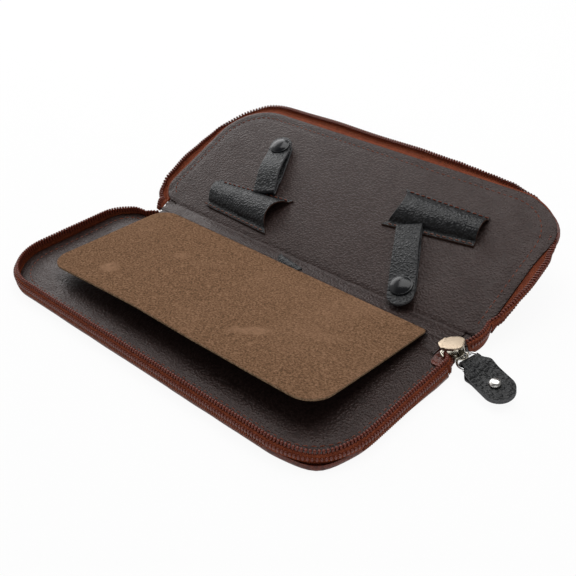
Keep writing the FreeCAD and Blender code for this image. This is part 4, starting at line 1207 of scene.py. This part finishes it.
tab_line = []
for i in range(41):
    x = 26.25 - (26.25 - 0.9) * i / 40
    t = min(1.0, max(0.0, (11.0 - x) / 6.0))
    tab_line.append((x, 0.62 + 1.2 * t * t * (3 - 2 * t)))
for i in range(1, 12):
    angle = math.pi / 2 + math.pi * i / 12
    tab_line.append((0.9 + 1.82 * math.cos(angle), 1.82 * math.sin(angle)))
tab_line += [(x, -z) for x, z in reversed(tab_line[:41])]
at, total = path_of(tab_line)
bm = blank(0, total, -7, 7, 0.7)
for way, flat in ((1, 0.0), (-1, total)):
    cx = flat + way * 7
    cut_round(bm, cx, 0, 7, 90 if way > 0 else -90, 270 if way > 0 else 90, 18)
top = set(give_wall(bm, 1.15))
for face in bm.faces:
    face.material_index = 1 if abs(face.normal.z) < 0.5 else 0
soften_rim(bm, 0.3)
for v in bm.verts:
    here, normal = at(v.co.x)
    narrow = min(1.0, max(0.0, (6.2 - here.x) / 4.8))
    y = v.co.y * (1 - 0.37 * narrow * narrow * (3 - 2 * narrow))
    v.co = here + normal * (v.co.z - 0.575) + Vector((0, y, 0))
HANG = PULL @ Matrix.Rotation(math.radians(-9), 4, "Z") @ Matrix.Rotation(math.radians(3.5), 4, "Y")
tab = settle(bm, "pull_tab_leather", COARSE.material, "pull", HANG, ["pull_tab"], "black_leather", 60)
tab.data.materials.append(CUT_BLACK.material)
head = [(0, 1.55), (0.9, 1.5), (1.7, 1.3), (2.3, 0.95), (2.55, 0.6), (2.6, 0.3), (2.45, 0.05), (0.9, 0.0), (0.9, -2.6),
        (2.4, -2.6), (2.55, -2.8), (2.3, -3.05), (0, -3.1)]
settle(lathe(head, 40), "rivet_head", RIVET_METAL.material, "pull", spot(HANG, 17, 0, 1.3), ["pull_rivet"],
       "ring_metal", 45)


# ---- hidden boards keep their CAD form
for node, finish in (("stiffener_front", PAGE_BACK), ("stiffener_rear", PAGE_BACK), ("spine_filler", PAGE_BACK)):
    for slot in frame["nodes"][node].material_slots:
        slot.material = finish.material


# ---- stage, light and camera

floor_mesh = bpy.data.meshes.new("floor")
bm = bmesh.new()
bmesh.ops.create_grid(bm, x_segments=1, y_segments=1, size=3.0)
bm.to_mesh(floor_mesh)
bm.free()
floor = bpy.data.objects.new("floor", floor_mesh)
floor.location.z = min(CAD_BOX[0][2], 0.0) - 0.0004
bpy.context.scene.collection.objects.link(floor)
paper = bpy.data.materials.new("white_paper")
paper.use_nodes = True
tree = paper.node_tree
shader = tree.nodes["Principled BSDF"]
shader.inputs["Base Color"].default_value = (0.95, 0.95, 0.95, 1)
shader.inputs["Roughness"].default_value = 0.9
shader.inputs["Specular IOR Level"].default_value = 0.0
glow = tree.nodes.new("ShaderNodeEmission")
path = tree.nodes.new("ShaderNodeLightPath")
seen = tree.nodes.new("ShaderNodeMath")
seen.operation = "MAXIMUM"
tree.links.new(path.outputs["Is Camera Ray"], seen.inputs[0])
tree.links.new(path.outputs["Is Glossy Ray"], seen.inputs[1])
amount = tree.nodes.new("ShaderNodeMath")
amount.operation = "MULTIPLY"
amount.inputs[1].default_value = 0.93
tree.links.new(seen.outputs[0], amount.inputs[0])
mix = tree.nodes.new("ShaderNodeMixShader")
tree.links.new(amount.outputs[0], mix.inputs[0])
tree.links.new(shader.outputs[0], mix.inputs[1])
tree.links.new(glow.outputs[0], mix.inputs[2])
tree.links.new(mix.outputs[0], tree.nodes["Material Output"].inputs["Surface"])
floor_mesh.materials.append(paper)

world = bpy.data.worlds.new("studio")
bpy.context.scene.world = world
world.use_nodes = True
tree = world.node_tree
tree.nodes.clear()
lit = tree.nodes.new("ShaderNodeBackground")
lit.inputs["Color"].default_value = (1, 1, 1, 1)
lit.inputs["Strength"].default_value = 0.27
seen_white = tree.nodes.new("ShaderNodeBackground")
seen_white.inputs["Strength"].default_value = 1.0
seen_white.inputs["Color"].default_value = (1, 1, 1, 1)
path = tree.nodes.new("ShaderNodeLightPath")
either = tree.nodes.new("ShaderNodeMath")
either.operation = "MAXIMUM"
tree.links.new(path.outputs["Is Camera Ray"], either.inputs[0])
tree.links.new(path.outputs["Is Transmission Ray"], either.inputs[1])
shiny = tree.nodes.new("ShaderNodeMath")
shiny.operation = "MAXIMUM"
tree.links.new(either.outputs[0], shiny.inputs[0])
tree.links.new(path.outputs["Is Glossy Ray"], shiny.inputs[1])
mix = tree.nodes.new("ShaderNodeMixShader")
out = tree.nodes.new("ShaderNodeOutputWorld")
way = tree.nodes.new("ShaderNodeSeparateXYZ")
tree.links.new(tree.nodes.new("ShaderNodeTexCoord").outputs["Generated"], way.inputs[0])
side = tree.nodes.new("ShaderNodeMapRange")
side.interpolation_type = "SMOOTHSTEP"
for key, number in (("From Min", -0.35), ("From Max", -0.8), ("To Min", 0.15), ("To Max", 0.85)):
    side.inputs[key].default_value = number
tree.links.new(way.outputs["X"], side.inputs["Value"])
bright = tree.nodes.new("ShaderNodeMath")
bright.operation = "MAXIMUM"
tree.links.new(either.outputs[0], bright.inputs[0])
tree.links.new(side.outputs["Result"], bright.inputs[1])
tree.links.new(bright.outputs[0], seen_white.inputs["Strength"])
tree.links.new(shiny.outputs[0], mix.inputs[0])
tree.links.new(lit.outputs[0], mix.inputs[1])
tree.links.new(seen_white.outputs[0], mix.inputs[2])
tree.links.new(mix.outputs[0], out.inputs["Surface"])


def soft_box(name, place, aim, size, power):
    """A large soft lamp."""
    data = bpy.data.lights.new(name, "AREA")
    data.shape = "RECTANGLE"
    data.size, data.size_y = size
    data.energy = power
    lamp = bpy.data.objects.new(name, data)
    lamp.location = place
    way = Vector(aim) - Vector(place)
    lamp.rotation_euler = way.to_track_quat("-Z", "Y").to_euler()
    bpy.context.scene.collection.objects.link(lamp)
    return lamp


soft_box("top_box", (-0.1, 0.35, 0.95), (0, 0, 0), (0.9, 0.7), 6.3)
soft_box("left_box", (-0.85, 0.40, 0.50), (0, 0, 0.02), (0.8, 0.6), 3.6)
soft_box("front_fill", (0.6, -0.7, 0.5), (0, 0, 0.02), (0.7, 0.6), 0.9)

camera_data = bpy.data.cameras.new("camera")
camera_data.sensor_width = 36.0
camera_data.lens = 813.395 * 36.0 / 576.0
camera_data.clip_start = 0.01
camera = bpy.data.objects.new("camera", camera_data)
azimuth, height, roll, away = 0.754889, 0.597126, -0.035778, 0.521802
back = Vector((math.sin(azimuth) * math.cos(height), -math.cos(azimuth) * math.cos(height), math.sin(height)))
target = Vector((-0.053985, 0.061355, -0.067001))
right = Vector((0, 0, 1)).cross(back).normalized()
up = back.cross(right)
right, up = (right * math.cos(roll) + up * math.sin(roll), up * math.cos(roll) - right * math.sin(roll))
camera.matrix_world = Matrix.Translation(target + back * away) @ Matrix((right, up, back)).transposed().to_4x4()
bpy.context.scene.collection.objects.link(camera)
bpy.context.scene.camera = camera

bpy.context.scene.view_settings.view_transform = "Standard"
